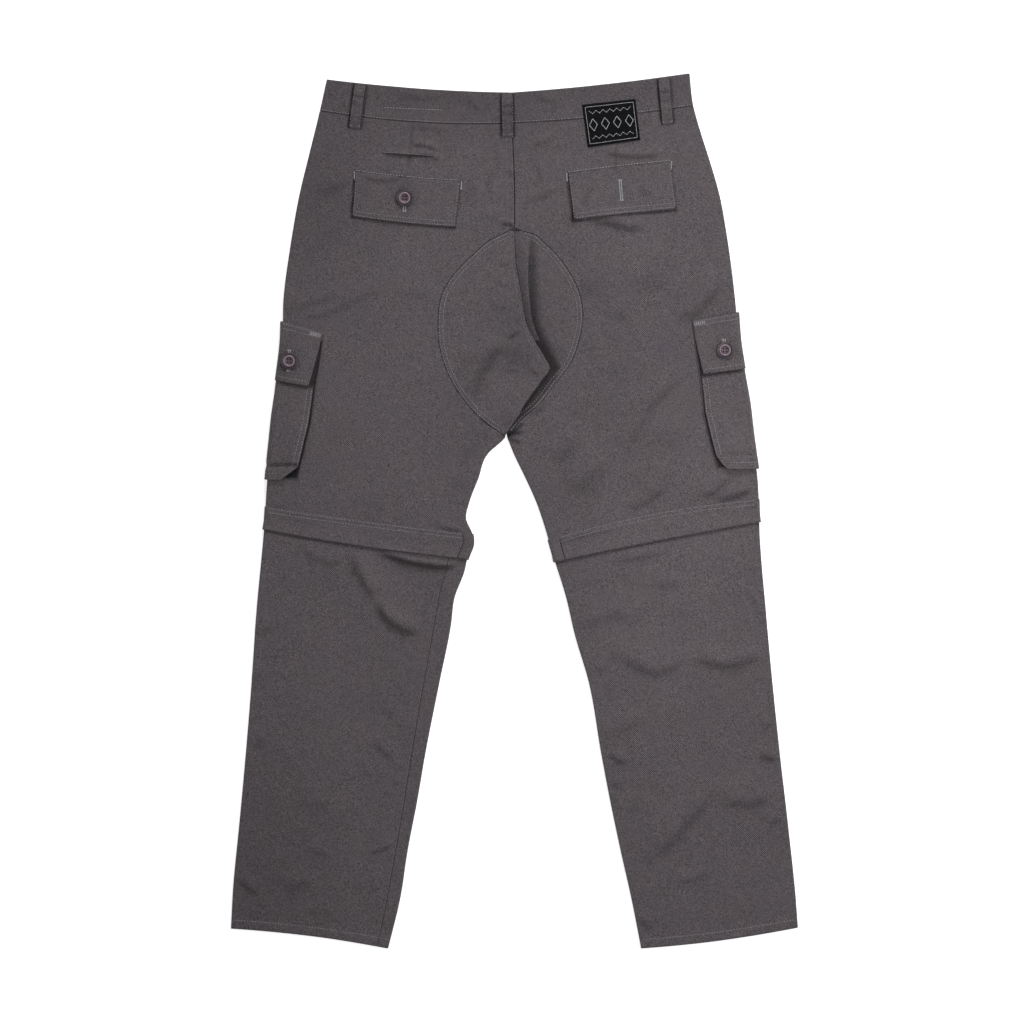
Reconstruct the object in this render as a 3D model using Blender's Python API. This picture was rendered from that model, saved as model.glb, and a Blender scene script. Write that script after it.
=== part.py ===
"""Convertible zip-off trousers, lying flat with the back upwards. Metres, +Z up.

The tables below are in millimetres: X runs across the garment, Y up towards the waist and
Z up from the surface that the trousers lie on. Each leg is a flat tube of two cloth layers.
"""

import math

import bmesh
import bpy
import numpy as np

MM = 0.001
LEFT = -1
RIGHT = 1

# Cloth and the gaps between pieces
CLOTH = 1.0
WAIST_CLOTH = 2.0
FLAP_CLOTH = 1.4
SEAM_GAP = 0.3
LAYER_GAP = 0.35

# A leg's two layers, outer face to outer face, and the waistband's
LEG_THICK = 4.2
WAIST_THICK = 5.2
WAIST_RISE = 24.0
FOLD_RADIUS = LEG_THICK / 2
FOLD_ARC = 3.3
FOLD_SEAM_ANGLE = 10.0

# How far each sewn-on layer's inner face stands off the leg
BAND_OFF = LAYER_GAP
GUSSET_OFF = LAYER_GAP
POCKET_OFF = GUSSET_OFF + CLOTH + LAYER_GAP
CARGO_FLAP_OFF = POCKET_OFF + CLOTH + LAYER_GAP
LIFT_RAMP = {"under": 23.0, "over": 27.0}
PLATEAU_ACROSS = 6.0
PLATEAU_ABOVE = 18.0
PLATEAU_BELOW = 12.0

# Side edges of the legs, as Y and X
OUTER = {
    LEFT: [
        (526, -223), (481, -234), (436, -245), (378, -259), (321, -269), (254, -276),
        (206, -277), (148, -284), (90, -290), (42, -295), (-22, -300), (-118, -310),
        (-205, -316), (-291, -323), (-378, -331), (-450, -338), (-506, -341),
    ],
    RIGHT: [
        (530, 210), (487, 215), (455, 224), (417, 236), (378, 247), (340, 254),
        (282, 262), (244, 266), (206, 269), (148, 278), (90, 285), (38, 292),
        (-34, 295), (-118, 302), (-205, 310), (-291, 319), (-378, 329), (-464, 338),
        (-505, 341),
    ],
}
INNER = {
    LEFT: [
        (96, -8), (89, -11), (69, -32), (40, -43), (11, -53), (-34, -53), (-66, -58),
        (-104, -70), (-147, -79), (-205, -89), (-291, -107), (-349, -117), (-406, -128),
        (-464, -137), (-530, -153),
    ],
    RIGHT: [
        (96, -12), (89, -9), (69, -1), (40, 13), (11, 26), (-18, 36), (-46, 44),
        (-104, 62), (-147, 72), (-205, 89), (-291, 104), (-349, 115), (-406, 127),
        (-464, 140), (-530, 153),
    ],
}

# Seam lines that run down the garment, as Y and X
CENTRE_BACK = [(510, -4), (466, -3), (420, -1), (383, 0), (336, 0)]
CENTRE_FRONT = [(510, -4), (466, -3), (336, 0), (200, -5), (89, -10)]
PATCH_EDGE = {
    LEFT: [
        (338, -4), (327, -27), (308, -50), (282, -75), (261, -87), (230, -92), (197, -90),
        (167, -81), (135, -62), (110, -39), (92, -14),
    ],
    RIGHT: [
        (338, 4), (334, 19), (322, 36), (297, 59), (272, 74), (240, 82), (207, 78),
        (174, 65), (154, 49), (127, 28), (110, 8), (92, -6),
    ],
}
SEAT_SEAM = [
    (338, 0), (297, 2), (274, 6), (251, 10), (228, 14), (201, 24), (182, 34), (172, 39),
    (160, 31), (129, 9), (108, -2), (92, -10),
]
INSEAM_LEFT = [
    (-46, -78), (-68, -81), (-93, -88), (-148, -98), (-225, -112), (-406, -142),
    (-488, -157), (-530, -166),
]
PATCH_TOP = 337.0
CROTCH = 91.0
PATCH_TOP_OUTER = 362.0
CROTCH_OUTER = 104.0

# Seam lines that run across a half: Y at the outer fold, Y at the inner end, bow at the middle
CROSS = {
    "waist_top": {LEFT: (519, 503, -3), RIGHT: (526, 503, -2)},
    "waist_seam": {LEFT: (481, 466, -6), RIGHT: (487, 466, -3)},
    "front_top": {LEFT: (517, 488, -2), RIGHT: (524, 488, -2)},
    "front_seam": {LEFT: (481, 450, -2), RIGHT: (487, 450, -2)},
    "band_top": {LEFT: (6, -27, -1), RIGHT: (15, -34, 7)},
    "band_bottom": {LEFT: (-22, -58, -3), RIGHT: (-13, -61, 1)},
    "hem": {LEFT: (-501, -525, 3), RIGHT: (-500, -525, -3)},
}
BAND_ROW = 3.0
UPPER_END = -6.0
ZIP_START = -6.3
ZIP_END = -19.0
LOWER_START = -19.3

# Main folds of the upper layer: two ends, half width and height
FOLD_TABLE = [
    (-205, -58, -160, -128, 22, -1.2),
    (-160, -128, -122, -150, 20, -1.2),
    (-190, -100, -120, -175, 24, 1.4),
    (89, -165, 182, -145, 18, -1.2),
    (182, -145, 273, -168, 18, -1.0),
    (110, -188, 250, -172, 22, 1.4),
    (206, -308, 292, -326, 20, -1.0),
    (212, -308, 139, -381, 22, -1.0),
    (145, 171, 58, 24, 26, 1.2),
    (-184, -50, -140, -66, 11, 1.6),
    (-140, -66, -66, -76, 11, 2.2),
    (103, 347, 163, 338, 16, -1.0),
    (163, 254, 211, 239, 16, -1.0),
]

# The seat's pleat: its ridge as Y and X, its height, and the Y and length of each of its ends
SEAT_RIDGE = [(338, 19), (328, 18.6), (278, 16.2), (251, 18), (228, 21), (205, 30)]
RIDGE_HEIGHT = 4.6
RIDGE_FALL = 6.0
RIDGE_LEAST_WIDTH = 3.0
RIDGE_TOP, RIDGE_TOP_FADE = 336.0, 20.0
RIDGE_FOOT, RIDGE_FOOT_FADE = 196.0, 22.0

# Below the pleat the seat's left half laps over the right half, which sinks beneath it
LAP_TOP, LAP_TOP_FADE = 232.0, 50.0
LAP_FOOT, LAP_FOOT_FADE = 96.0, 30.0
LAP_HEIGHT = 4.2
LAP_REACH = 52.0
LAP_TURN_DROP = 1.6
LAP_TURN_REACH = 1.2
RECESS_DEPTH = 1.3
RECESS_NEAR, RECESS_FADE = 10.0, 22.0

# Cargo pockets: widths are measured from the outer fold, on the back and on the front
CARGO = {
    LEFT: {
        "flap_back": (48, 40), "flap_front": 118, "flap_top": (228, -0.27),
        "flap_bottom": (157, -0.17), "face_back": (44, 42, 34), "face_front": 110,
        "gusset_step": 4.0, "bottom": 38, "button": (-270, 180),
    },
    RIGHT: {
        "flap_back": (54, 49), "flap_front": 112, "flap_top": (239, -0.18),
        "flap_bottom": (171, -0.13), "face_back": (50, 53, 45), "face_front": 104,
        "gusset_step": 3.0, "bottom": 51, "button": (252, 193),
    },
}
POCKET_TOP_DROP = 9.0
POCKET_BULGE = FLAP_CLOTH + LAYER_GAP
BULGE_START = 8.0
BULGE_RUN = 40.0
FACE_BEND = 0.6
GUSSET_WIDTH = 13.0
GUSSET_RISE = 0.75
GUSSET_INSET = {"bottom": 0.5, "front": 1.0}
GUSSET_MITRE = 3.0

# What lies on the back: corners are top left, top right, bottom right, bottom left
BACK_FLAPS = {
    LEFT: [(-191, 408), (-65, 396), (-71, 341), (-195, 354)],
    RIGHT: [(64, 406), (187, 420), (194, 363), (71, 350)],
}
LABEL_OFF = 0.5
LABEL = [(81, 488), (145, 495), (151, 446), (88, 437)]
BELT_LOOPS = {
    "belt_loop_left": ((-185, 513), (-192, 460)),
    "belt_loop_centre": ((-9, 501), (-8, 450)),
    "belt_loop_right": ((179, 519), (184, 465)),
}
LOOP_WIDTH = 14.4
LOOP_RISE = 2.6
LOOP_SEWN_SHARE = 0.25
BACK_BUTTON = (-132, 376)
BUTTON_RADIUS = 10.0
BUTTON_THICK = 3.4
BUTTON_SIDES = 20

# A button's turned outline, from beneath round its rim to its dish, as shares of radius and thickness
BUTTON_OUTLINE = [(0.8, 0.0), (1.0, 0.35), (1.0, 0.75), (0.92, 1.0), (0.72, 0.95), (0.6, 0.62)]

# The band's two ends meet beside the inseam, at these shares of the leg's width from the outer fold
BAND_SEAM_START = 0.956
BAND_SEAM_END = 0.959

# How finely the layers are divided
NOSE_ANGLES = (FOLD_SEAM_ANGLE, 45.0, 90.0)
UPPER_ROWS = (5, 15, 5)
UPPER_COLUMNS = {"top": (4, 5), "bottom": (3, 4)}
LOWER_TOP_ROWS = (1, 3)
LOWER_ROWS = {"back": (7, 9), "front": (4, 7)}
LOWER_SPLIT = -185.0
FLAT_COLUMNS = 8
RING_COLUMNS = 10
PATCH_COLUMNS = 9
PATCH_CROWDING = 1.7
WAIST_ROWS = 3
BAND_ROWS = 3
CARGO_COLUMNS = (4, 6)
CARGO_FLAP_ROWS = 5
POCKET_ROWS = 9
GUSSET_STEPS = 7
BACK_FLAP_GRID = (8, 5)
LABEL_GRID = (5, 6)
LOOP_STEPS = 9
SHARP_ANGLE = 50.0

# Colours as linear red, green and blue
TWILL = (0.094, 0.082, 0.090)
TWILL_DARK = (0.074, 0.065, 0.071)
LABEL_BLACK = (0.012, 0.012, 0.014)
BUTTON_BROWN = (0.11, 0.07, 0.09)
ZIP_DARK = (0.05, 0.045, 0.05)


def smooth_step(value):
    """0 below 0, 1 above 1, with an even rise between."""
    t = np.clip(value, 0.0, 1.0)
    return t * t * (3 - 2 * t)


def smooth_x(table, y):
    """X at the heights y, on a smooth line through the rows of a table."""
    rows = np.array(table, float)[::-1]
    heights, across = rows[:, 0], rows[:, 1]
    slope = np.gradient(across, heights)
    k = np.clip(np.searchsorted(heights, y) - 1, 0, len(heights) - 2)
    step = heights[k + 1] - heights[k]
    t = (y - heights[k]) / step
    start = across[k] * (1 + 2 * t) * (1 - t) ** 2 + step * slope[k] * t * (1 - t) ** 2
    end = across[k + 1] * t * t * (3 - 2 * t) + step * slope[k + 1] * t * t * (t - 1)
    return start + end


def edge(table, y, sign):
    """Points on an edge at the heights y, and the unit ways across the cloth from them."""
    y = np.atleast_1d(np.asarray(y, float))
    lean = (smooth_x(table, y + 1) - smooth_x(table, y - 1)) / 2
    length = np.hypot(1.0, lean)
    way = np.stack([sign / length, -lean * sign / length], 1)
    return np.stack([smooth_x(table, y), y], 1), way


def along(table, high, low, count):
    """Evenly spaced points on a table's line between two heights."""
    y = np.linspace(high, low, 400)
    line = np.stack([smooth_x(table, y), y], 1)
    run = np.concatenate([[0], np.cumsum(np.linalg.norm(np.diff(line, axis=0), axis=1))])
    where = np.linspace(0, run[-1], count)
    return np.stack([np.interp(where, run, line[:, i]) for i in (0, 1)], 1)


def ways(line, sign):
    """Unit ways square to a line that runs down, to its right where sign is 1."""
    run = np.gradient(line, axis=0)
    square = np.stack([-run[:, 1], run[:, 0]], 1) * sign
    return square / np.linalg.norm(square, axis=1)[:, None]


def cross(name, side, step=0.0):
    """One seam line across a half, moved along Y by step."""
    outer, inner, bow = CROSS[name][side]
    return outer + step, inner + step, bow


def cross_y(name, side, x, y):
    """Y of a cross seam straight above or below each point."""
    outer, inner, bow = CROSS[name][side]
    start = smooth_x(OUTER[side], y)
    end = np.where(y > CROTCH, smooth_x(CENTRE_FRONT, np.maximum(y, CROTCH)), smooth_x(INNER[side], y))
    u = np.clip((x - start) / (end - start), 0, 1)
    return outer + (inner - outer) * u + 4 * bow * u * (1 - u)


def lift(x, y, layer):
    """How far the sewn-on layers beneath raise the leg. The layer "over" falls more gently than "under"."""
    total = np.zeros_like(x)
    ramp = LIFT_RAMP[layer]
    for side in (LEFT, RIGHT):
        here = np.sign(x - smooth_x(CENTRE_FRONT, np.maximum(y, CROTCH))) == side
        above = cross_y("band_top", side, x, y) - y
        below = y - cross_y("band_bottom", side, x, y)
        beyond = np.maximum(0, np.maximum(-above, -below))
        band = (BAND_OFF + CLOTH) * smooth_step(1 - beyond / ramp)
        total = np.where(here, np.maximum(total, band), total)
        reach = np.abs(x - smooth_x(OUTER[side], y))
        past = np.maximum(0, reach - CARGO[side]["flap_front"] - PLATEAU_ACROSS)
        high = flap_line(side, "flap_top")(-reach) + PLATEAU_ABOVE
        low = CARGO[side]["bottom"] - PLATEAU_BELOW
        off = np.hypot(past, np.maximum(0, np.maximum(y - high, low - y)))
        cargo = (CARGO_FLAP_OFF + FLAP_CLOTH) * smooth_step(1 - off / ramp)
        total = np.where(here, np.maximum(total, cargo), total)
    return total


def flap_line(side, name):
    """Height of a cargo flap's top or bottom at a distance round the leg."""
    start, slope = CARGO[side][name]
    return lambda s: start + slope * s


def pocket_top(side):
    top = flap_line(side, "flap_top")
    return lambda s: top(s) - POCKET_TOP_DROP


def pocket_bulge(side, s, y):
    """How much further the pocket's face stands off the leg below its flap."""
    below = flap_line(side, "flap_bottom")(s) - BULGE_START - y
    return POCKET_BULGE * smooth_step(below / BULGE_RUN)


def folds(x, y):
    """Height that the main folds add to the upper layer."""
    total = np.zeros_like(x)
    for x0, y0, x1, y1, width, height in FOLD_TABLE:
        run = np.array([x1 - x0, y1 - y0], float)
        t = ((x - x0) * run[0] + (y - y0) * run[1]) / (run @ run)
        near = np.clip(t, 0, 1)
        away = np.hypot(x - x0 - near * run[0], y - y0 - near * run[1])
        total += height * smooth_step(1 - away / width)
    return total


def top(x, y):
    """Height of the upper layer's outer face."""
    rise = np.zeros_like(x)
    for side in (LEFT, RIGHT):
        here = np.sign(x - smooth_x(CENTRE_FRONT, np.maximum(y, CROTCH))) == side
        above = (y - cross_y("waist_seam", side, x, y) + WAIST_RISE) / WAIST_RISE
        rise = np.where(here, smooth_step(above), rise)
    return LEG_THICK + (WAIST_THICK - LEG_THICK) * rise + lift(x, y, "over") + folds(x, y)


def bottom(x, y):
    """Height of the lower layer's outer face, which rests where nothing lies beneath it."""
    return lift(x, y, "under")


def lap(y):
    """1 along the stretch of the seat seam where the left half laps over the right."""
    return smooth_step((LAP_TOP - y) / LAP_TOP_FADE) * smooth_step((y - LAP_FOOT) / LAP_FOOT_FADE)


def seat_left(x, y):
    """Height of the seat's left half, which swells towards its folded edge."""
    away = np.maximum(0, smooth_x(SEAT_SEAM, y) - x)
    swell = LAP_HEIGHT * lap(y) * smooth_step(1 - away / LAP_REACH)
    return top(x, y) + swell


def seat_right(x, y):
    """Height of the seat's right half: a ridge beside the seam, then a hollow under the lap."""
    seam = smooth_x(SEAT_SEAM, y)
    ridge = smooth_x(SEAT_RIDGE, np.clip(y, SEAT_RIDGE[-1][0], SEAT_RIDGE[0][0]))
    width = np.maximum(ridge - seam, RIDGE_LEAST_WIDTH)
    away = x - seam
    strip = smooth_step((RIDGE_TOP - y) / RIDGE_TOP_FADE) * smooth_step((y - RIDGE_FOOT) / RIDGE_FOOT_FADE)
    up = smooth_step(away / width)
    down = smooth_step((away - width) / RIDGE_FALL)
    hollow = lap(y) * (1 - smooth_step((away - RECESS_NEAR) / RECESS_FADE))
    return top(x, y) + RIDGE_HEIGHT * strip * up * (1 - down) - RECESS_DEPTH * hollow


def on_face(plan, face, depth, height=top):
    """Points this deep inside the upper (1) or lower (-1) layer's outer face, above plan points."""
    x, y = plan[:, 0], plan[:, 1]
    if face < 0:
        return np.stack([x, y, bottom(x, y) + depth], 1)
    depth = np.reshape(depth, (-1, 1))
    z = height(x, y)
    slope_x = (height(x + 0.5, y) - height(x - 0.5, y))
    slope_y = (height(x, y + 0.5) - height(x, y - 0.5))
    square = np.stack([-slope_x, -slope_y, np.ones_like(x)], 1)
    square /= np.linalg.norm(square, axis=1)[:, None]
    return np.stack([x, y, z], 1) - square * depth


def on_fold(tangent, way, angle, depth):
    """Points round a side fold. The angle is 90 on top of it, 0 at its edge and -90 beneath."""
    x, y = tangent[:, 0], tangent[:, 1]
    high, low = top(x, y), bottom(x, y)
    turn = np.radians(angle) * np.ones(len(x))
    plan = tangent - way * ((FOLD_RADIUS - depth) * np.cos(turn))[:, None]
    z = (high + low) / 2 + ((high - low) / 2 - depth) * np.sin(turn)
    return np.column_stack([plan, z])


class Span:
    """Lines across one half of the garment, each from its outer fold to its inner end.

    An inner end has a fold of its own where rolled is true, and stops at a seam elsewhere. The bow
    bends a line along Y at its middle, and reach is where an inseam crosses it, as a share of it.
    """

    def __init__(self, side, y_outer, inner, inner_way=None, rolled=None, bow=0.0, seam=None):
        self.outer, self.way = edge(OUTER[side], y_outer, -side)
        self.start = self.outer + self.way * FOLD_RADIUS
        self.inner_way = inner_way
        self.end = inner if inner_way is None else inner + inner_way * FOLD_RADIUS
        self.rolled = np.ones(len(inner), bool) if rolled is None else rolled
        self.bow = np.ones(len(inner)) * bow
        self.width = np.abs(self.end[:, 0] - self.start[:, 0])
        self.reach = 1.0 if seam is None else np.abs(seam - self.start[:, 0]) / self.width

    def place(self, zone, value, depth):
        """Points at one place on every line, this deep inside the outer face."""
        if zone in ("top", "bottom"):
            u = (value * np.ones(len(self.bow)))[:, None]
            plan = self.start + (self.end - self.start) * u
            plan[:, 1] += 4 * self.bow * u[:, 0] * (1 - u[:, 0])
            return on_face(plan, 1 if zone == "top" else -1, depth)
        if zone == "outer":
            return on_fold(self.start, self.way, value, depth)
        rolled = on_fold(self.end, self.inner_way, value, depth)
        back_off = FOLD_RADIUS * math.cos(math.radians(value))
        face = 1 if value > 0 else -1
        flat = on_face(self.end - self.inner_way * back_off, face, depth)
        return np.where(self.rolled[:, None], rolled, flat)

    def grid(self, columns, depth):
        return np.stack([self.place(zone, value, depth) for zone, value in columns], 1)


def wrap(side, s, y, off):
    """Points standing off a leg by off, at the distance s round its outer fold: on top where s > 0."""
    y, off = y * np.ones_like(s), off * np.ones_like(s)
    outer, way = edge(OUTER[side], y, -side)
    start = outer + way * FOLD_RADIUS
    angle = np.clip(s / FOLD_ARC, -1, 1) * 90
    round_fold = on_fold(start, way, angle, -off)
    flat = start - np.outer(np.maximum(np.abs(s) - FOLD_ARC, 0), [side, 0])
    above = on_face(flat, 1, -off)
    beneath = on_face(flat, -1, -off)
    level = np.where((s > 0)[:, None], above, beneath)
    return np.where((np.abs(s) < FOLD_ARC)[:, None], round_fold, level)


def wrap_distance(plan):
    """The distance round the fold of something this far in from the leg's edge in plan."""
    return plan - FOLD_RADIUS + FOLD_ARC


def material(name, colour, roughness):
    shader = bpy.data.materials.new(name)
    shader.use_nodes = True
    shader.diffuse_color = (*colour, 1.0)
    principled = shader.node_tree.nodes["Principled BSDF"]
    principled.inputs["Base Color"].default_value = (*colour, 1.0)
    principled.inputs["Roughness"].default_value = roughness
    principled.inputs["Metallic"].default_value = 0.0
    return shader


def add_object(name, points, faces, colour=TWILL, roughness=0.9):
    """One named solid, with its own material, from points in millimetres."""
    mesh = bpy.data.meshes.new(name)
    mesh.from_pydata([tuple(p) for p in np.asarray(points) * MM], [], faces)
    solid = bmesh.new()
    solid.from_mesh(mesh)
    bmesh.ops.recalc_face_normals(solid, faces=solid.faces)
    if solid.calc_volume(signed=True) < 0:
        bmesh.ops.reverse_faces(solid, faces=solid.faces)
    solid.to_mesh(mesh)
    solid.free()
    mesh.shade_smooth()
    mesh.set_sharp_from_angle(angle=math.radians(SHARP_ANGLE))
    obj = bpy.data.objects.new(name, mesh)
    obj.data.materials.append(material(name, colour, roughness))
    bpy.context.scene.collection.objects.link(obj)
    return obj


def add_wall(name, outer, inner, closed=False, **looks):
    """A cloth wall between two grids of points. A closed grid joins its last column to its first."""
    rows, columns = outer.shape[:2]
    points = np.concatenate([outer.reshape(-1, 3), inner.reshape(-1, 3)])
    half = rows * columns
    faces = []
    last = columns if closed else columns - 1
    for r in range(rows - 1):
        for c in range(last):
            d = (c + 1) % columns
            a, b = r * columns + c, r * columns + d
            quad = (a, b, b + columns, a + columns)
            faces.append(quad)
            faces.append(tuple(half + i for i in reversed(quad)))
    for r, flip in ((0, False), (rows - 1, True)):
        for c in range(last):
            d = (c + 1) % columns
            a, b = r * columns + c, r * columns + d
            rim = (b, a, half + a, half + b)
            faces.append(rim[::-1] if flip else rim)
    if not closed:
        for c, flip in ((0, False), (columns - 1, True)):
            for r in range(rows - 1):
                a, b = r * columns + c, (r + 1) * columns + c
                rim = (a, b, half + b, half + a)
                faces.append(rim[::-1] if flip else rim)
    return add_object(name, points, faces, **looks)


def side_name(side):
    return "left" if side == LEFT else "right"


def flat_columns(zone, count):
    """Columns over a flat stretch, between the two folds' tangents."""
    return [(zone, u) for u in np.linspace(0, 1, count + 1)[1:-1]]


def cargo_columns(span, side, zone):
    """Columns over an upper panel, with one just past the cargo pocket beneath it."""
    width = np.linalg.norm(span.end - span.start, axis=1)
    edge_u = (CARGO[side]["flap_front"] + PLATEAU_ACROSS) / width
    before, after = UPPER_COLUMNS[zone]
    columns = [(zone, edge_u * t) for t in np.linspace(0, 1, before + 1)[1:]]
    return columns + [(zone, edge_u + (1 - edge_u) * t) for t in np.linspace(0, 1, after + 1)[1:-1]]


def upper_span(side, centre, patch):
    """Lines across an upper panel. Its inner end runs down a centre seam, round the seat patch
    where it has one, and then down the crotch's fold."""
    seam = CROSS["waist_seam" if patch else "front_seam"][side]
    band = CROSS["band_top"][side]
    middle = PATCH_EDGE[side] if patch else centre
    lines = [
        along(centre, seam[1] - SEAM_GAP / 2, PATCH_TOP + 1, UPPER_ROWS[0] + 1),
        along(middle, PATCH_TOP, CROTCH + 1, UPPER_ROWS[1] + 1),
        along(INNER[side], CROTCH - 1, band[1] + BAND_ROW, UPPER_ROWS[2] + 1),
        along(INNER[side], band[1] + BAND_ROW, band[1] + UPPER_END, 2)[1:],
    ]
    heights = [
        np.linspace(seam[0] - SEAM_GAP / 2, PATCH_TOP_OUTER, len(lines[0])),
        np.linspace(PATCH_TOP_OUTER, CROTCH_OUTER, len(lines[1]) + 1)[1:],
        np.linspace(CROTCH_OUTER, band[0] + BAND_ROW, len(lines[2]) + 1)[1:],
        [band[0] + UPPER_END],
    ]
    inward = [ways(line, side) for line in lines[:3]]
    inward = np.concatenate(inward + [inward[2][-1:]])
    inner = np.concatenate(lines)
    rolled = np.arange(len(inner)) >= len(inner) - len(lines[2]) - 1
    inner = inner + inward * SEAM_GAP / 2
    run = np.linspace(0, 1, len(inner))
    bow = seam[2] * np.clip(1 - 3 * run, 0, 1) + band[2] * np.clip(3 * run - 2, 0, 1)
    return Span(side, np.concatenate(heights), inner, inward, rolled, bow)


def add_upper_panels():
    for side in (LEFT, RIGHT):
        for name, zone, sign, patch in (("back", "top", 1, True), ("front", "bottom", -1, False)):
            span = upper_span(side, CENTRE_BACK if patch else CENTRE_FRONT, patch)
            columns = [("outer", sign * a) for a in NOSE_ANGLES] + cargo_columns(span, side, zone)
            columns += [("inner", sign * a) for a in reversed(NOSE_ANGLES)]
            add_wall(f"{name}_{side_name(side)}", span.grid(columns, 0), span.grid(columns, CLOTH))


def add_seat_patches():
    """Two halves let into the back panels. The left half's edge turns down over the right half."""
    rows = UPPER_ROWS[1] + 1
    seam = along(SEAT_SEAM, PATCH_TOP - 1, CROTCH + 2, rows)
    for side, height in ((LEFT, seat_left), (RIGHT, seat_right)):
        outline = along(PATCH_EDGE[side], PATCH_TOP, CROTCH + 1, rows)
        outline = outline - ways(outline, side) * SEAM_GAP / 2
        fold = seam + ways(seam, side) * SEAM_GAP / 2
        spread = np.linspace(0, 1, PATCH_COLUMNS) ** PATCH_CROWDING
        sheets = []
        for depth in (0, CLOTH):
            columns = [on_face(fold + (outline - fold) * u, 1, depth, height) for u in spread]
            if side == LEFT:
                turn = lap(seam[:, 1])[:, None]
                reach = np.column_stack([ways(seam, RIGHT) * LAP_TURN_REACH, 0 * turn])
                columns = [columns[0] + (reach - [0, 0, LAP_TURN_DROP]) * turn] + columns
            sheets.append(np.stack(columns, 1))
        add_wall(f"seat_patch_{side_name(side)}", *sheets)


def lower_span(side, rows):
    """Lines across a lower leg, from just under the zip to the hem."""
    start, end = cross("band_top", side, LOWER_START), cross("hem", side)
    under_band = CROSS["band_bottom"][side][1] - BAND_ROW
    levels = (start[1], under_band, under_band - LIFT_RAMP["over"], LOWER_SPLIT, end[1])
    inner_y = np.array([start[1]])
    for high, low, count in zip(levels, levels[1:], LOWER_TOP_ROWS + rows):
        inner_y = np.concatenate([inner_y, np.linspace(high, low, count + 1)[1:]])
    run = (inner_y - inner_y[0]) / (inner_y[-1] - inner_y[0])
    y_outer = start[0] + (end[0] - start[0]) * run
    inner, inward = edge(INNER[side], inner_y, side)
    bow = start[2] * (1 - run) + end[2] * run
    seam = smooth_x(INSEAM_LEFT, inner_y) if side == LEFT else None
    return Span(side, y_outer, inner, inward, None, bow, seam)


def add_lower_legs():
    """The back of each leg and the front. The left front rolls over its inner fold to the inseam."""
    for side in (LEFT, RIGHT):
        over, under = (lower_span(side, LOWER_ROWS[face]) for face in ("back", "front"))
        back = [("outer", a) for a in NOSE_ANGLES]
        front = [("outer", -a) for a in NOSE_ANGLES] + flat_columns("bottom", FLAT_COLUMNS // 2)
        if side == LEFT:
            reach = over.reach - SEAM_GAP / 2 / over.width
            back += [("top", u * reach) for u in np.linspace(0, 1, FLAT_COLUMNS + 2)[1:]]
            front += [("inner", a) for a in (-90, -45, 0, 45, 90)]
            front += [("top", under.reach + SEAM_GAP / 2 / under.width)]
        else:
            back += flat_columns("top", FLAT_COLUMNS) + [("inner", a) for a in reversed(NOSE_ANGLES)]
            front += [("inner", -a) for a in reversed(NOSE_ANGLES)]
        name = side_name(side)
        add_wall(f"lower_back_{name}", over.grid(back, 0), over.grid(back, CLOTH))
        add_wall(f"lower_front_{name}", under.grid(front, 0), under.grid(front, CLOTH))


def ring_columns(seam_u):
    """Columns all round a leg, from the inseam over the top, round and back beneath to the inseam."""
    columns = [("top", u) for u in np.linspace(seam_u, 0, RING_COLUMNS + 1)[:-1]]
    columns += [("outer", a) for a in (90, 45, 0, -45, -90)]
    columns += [("bottom", u) for u in np.linspace(0, 1, RING_COLUMNS + 1)[1:-1]]
    columns += [("inner", a) for a in (-90, -45, 0, 45)]
    return columns


def ring_span(side, upper, lower, rows):
    """Lines across a leg between two cross seams."""
    t = np.linspace(0, 1, rows)
    inner, inward = edge(INNER[side], upper[1] + (lower[1] - upper[1]) * t, side)
    y_outer = upper[0] + (lower[0] - upper[0]) * t
    return Span(side, y_outer, inner, inward, None, upper[2] + (lower[2] - upper[2]) * t)


def add_zips_and_bands():
    """Each leg's zip tape joins its two parts, and a band sewn on above it hides it."""
    for side in (LEFT, RIGHT):
        name = side_name(side)
        tape_top, tape_end = cross("band_top", side, ZIP_START), cross("band_top", side, ZIP_END)
        tape = ring_span(side, tape_top, tape_end, 2)
        columns = ring_columns(1.0)
        outer, inner = tape.grid(columns, 0), tape.grid(columns, CLOTH)
        add_wall(f"zip_{name}", outer, inner, closed=True, colour=ZIP_DARK)
        band = ring_span(side, cross("band_top", side), cross("band_bottom", side), BAND_ROWS)
        columns = ring_columns(BAND_SEAM_START) + [("inner", 90), ("top", BAND_SEAM_END)]
        outer, inner = band.grid(columns, -BAND_OFF - CLOTH), band.grid(columns, -BAND_OFF)
        add_wall(f"zip_band_{name}", outer, inner)


def waist_grid(top_name, seam_name, zone, depth, gap):
    """Both halves of a waistband layer, as two grids that meet at the centre."""
    halves = []
    for side in (LEFT, RIGHT):
        upper = np.array(cross(top_name, side))
        lower = np.array(cross(seam_name, side, SEAM_GAP / 2))
        outer_y, inner_y, bow = np.linspace(upper, lower, WAIST_ROWS).T
        inner = np.stack([smooth_x(CENTRE_BACK, inner_y) + side * gap, inner_y], 1)
        span = Span(side, outer_y, inner, bow=bow)
        sign = 1 if zone == "top" else -1
        columns = [("outer", sign * a) for a in NOSE_ANGLES]
        columns += [(zone, u) for u in np.linspace(0, 1, FLAT_COLUMNS + 1)[1:]]
        halves.append(span.grid(columns, depth))
    return halves


def add_waistband():
    """One strip across the back, and two on the front that meet at the centre."""
    layers = [waist_grid("waist_top", "waist_seam", "top", depth, 0) for depth in (0, WAIST_CLOTH)]
    joined = [np.concatenate([left, right[:, -2::-1]], 1) for left, right in layers]
    add_wall("waistband_back", *joined)
    gap = SEAM_GAP / 2
    layers = [waist_grid("front_top", "front_seam", "bottom", depth, gap) for depth in (0, WAIST_CLOTH)]
    for side, first, second in zip((LEFT, RIGHT), *layers):
        add_wall(f"waistband_front_{side_name(side)}", first, second)


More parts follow.
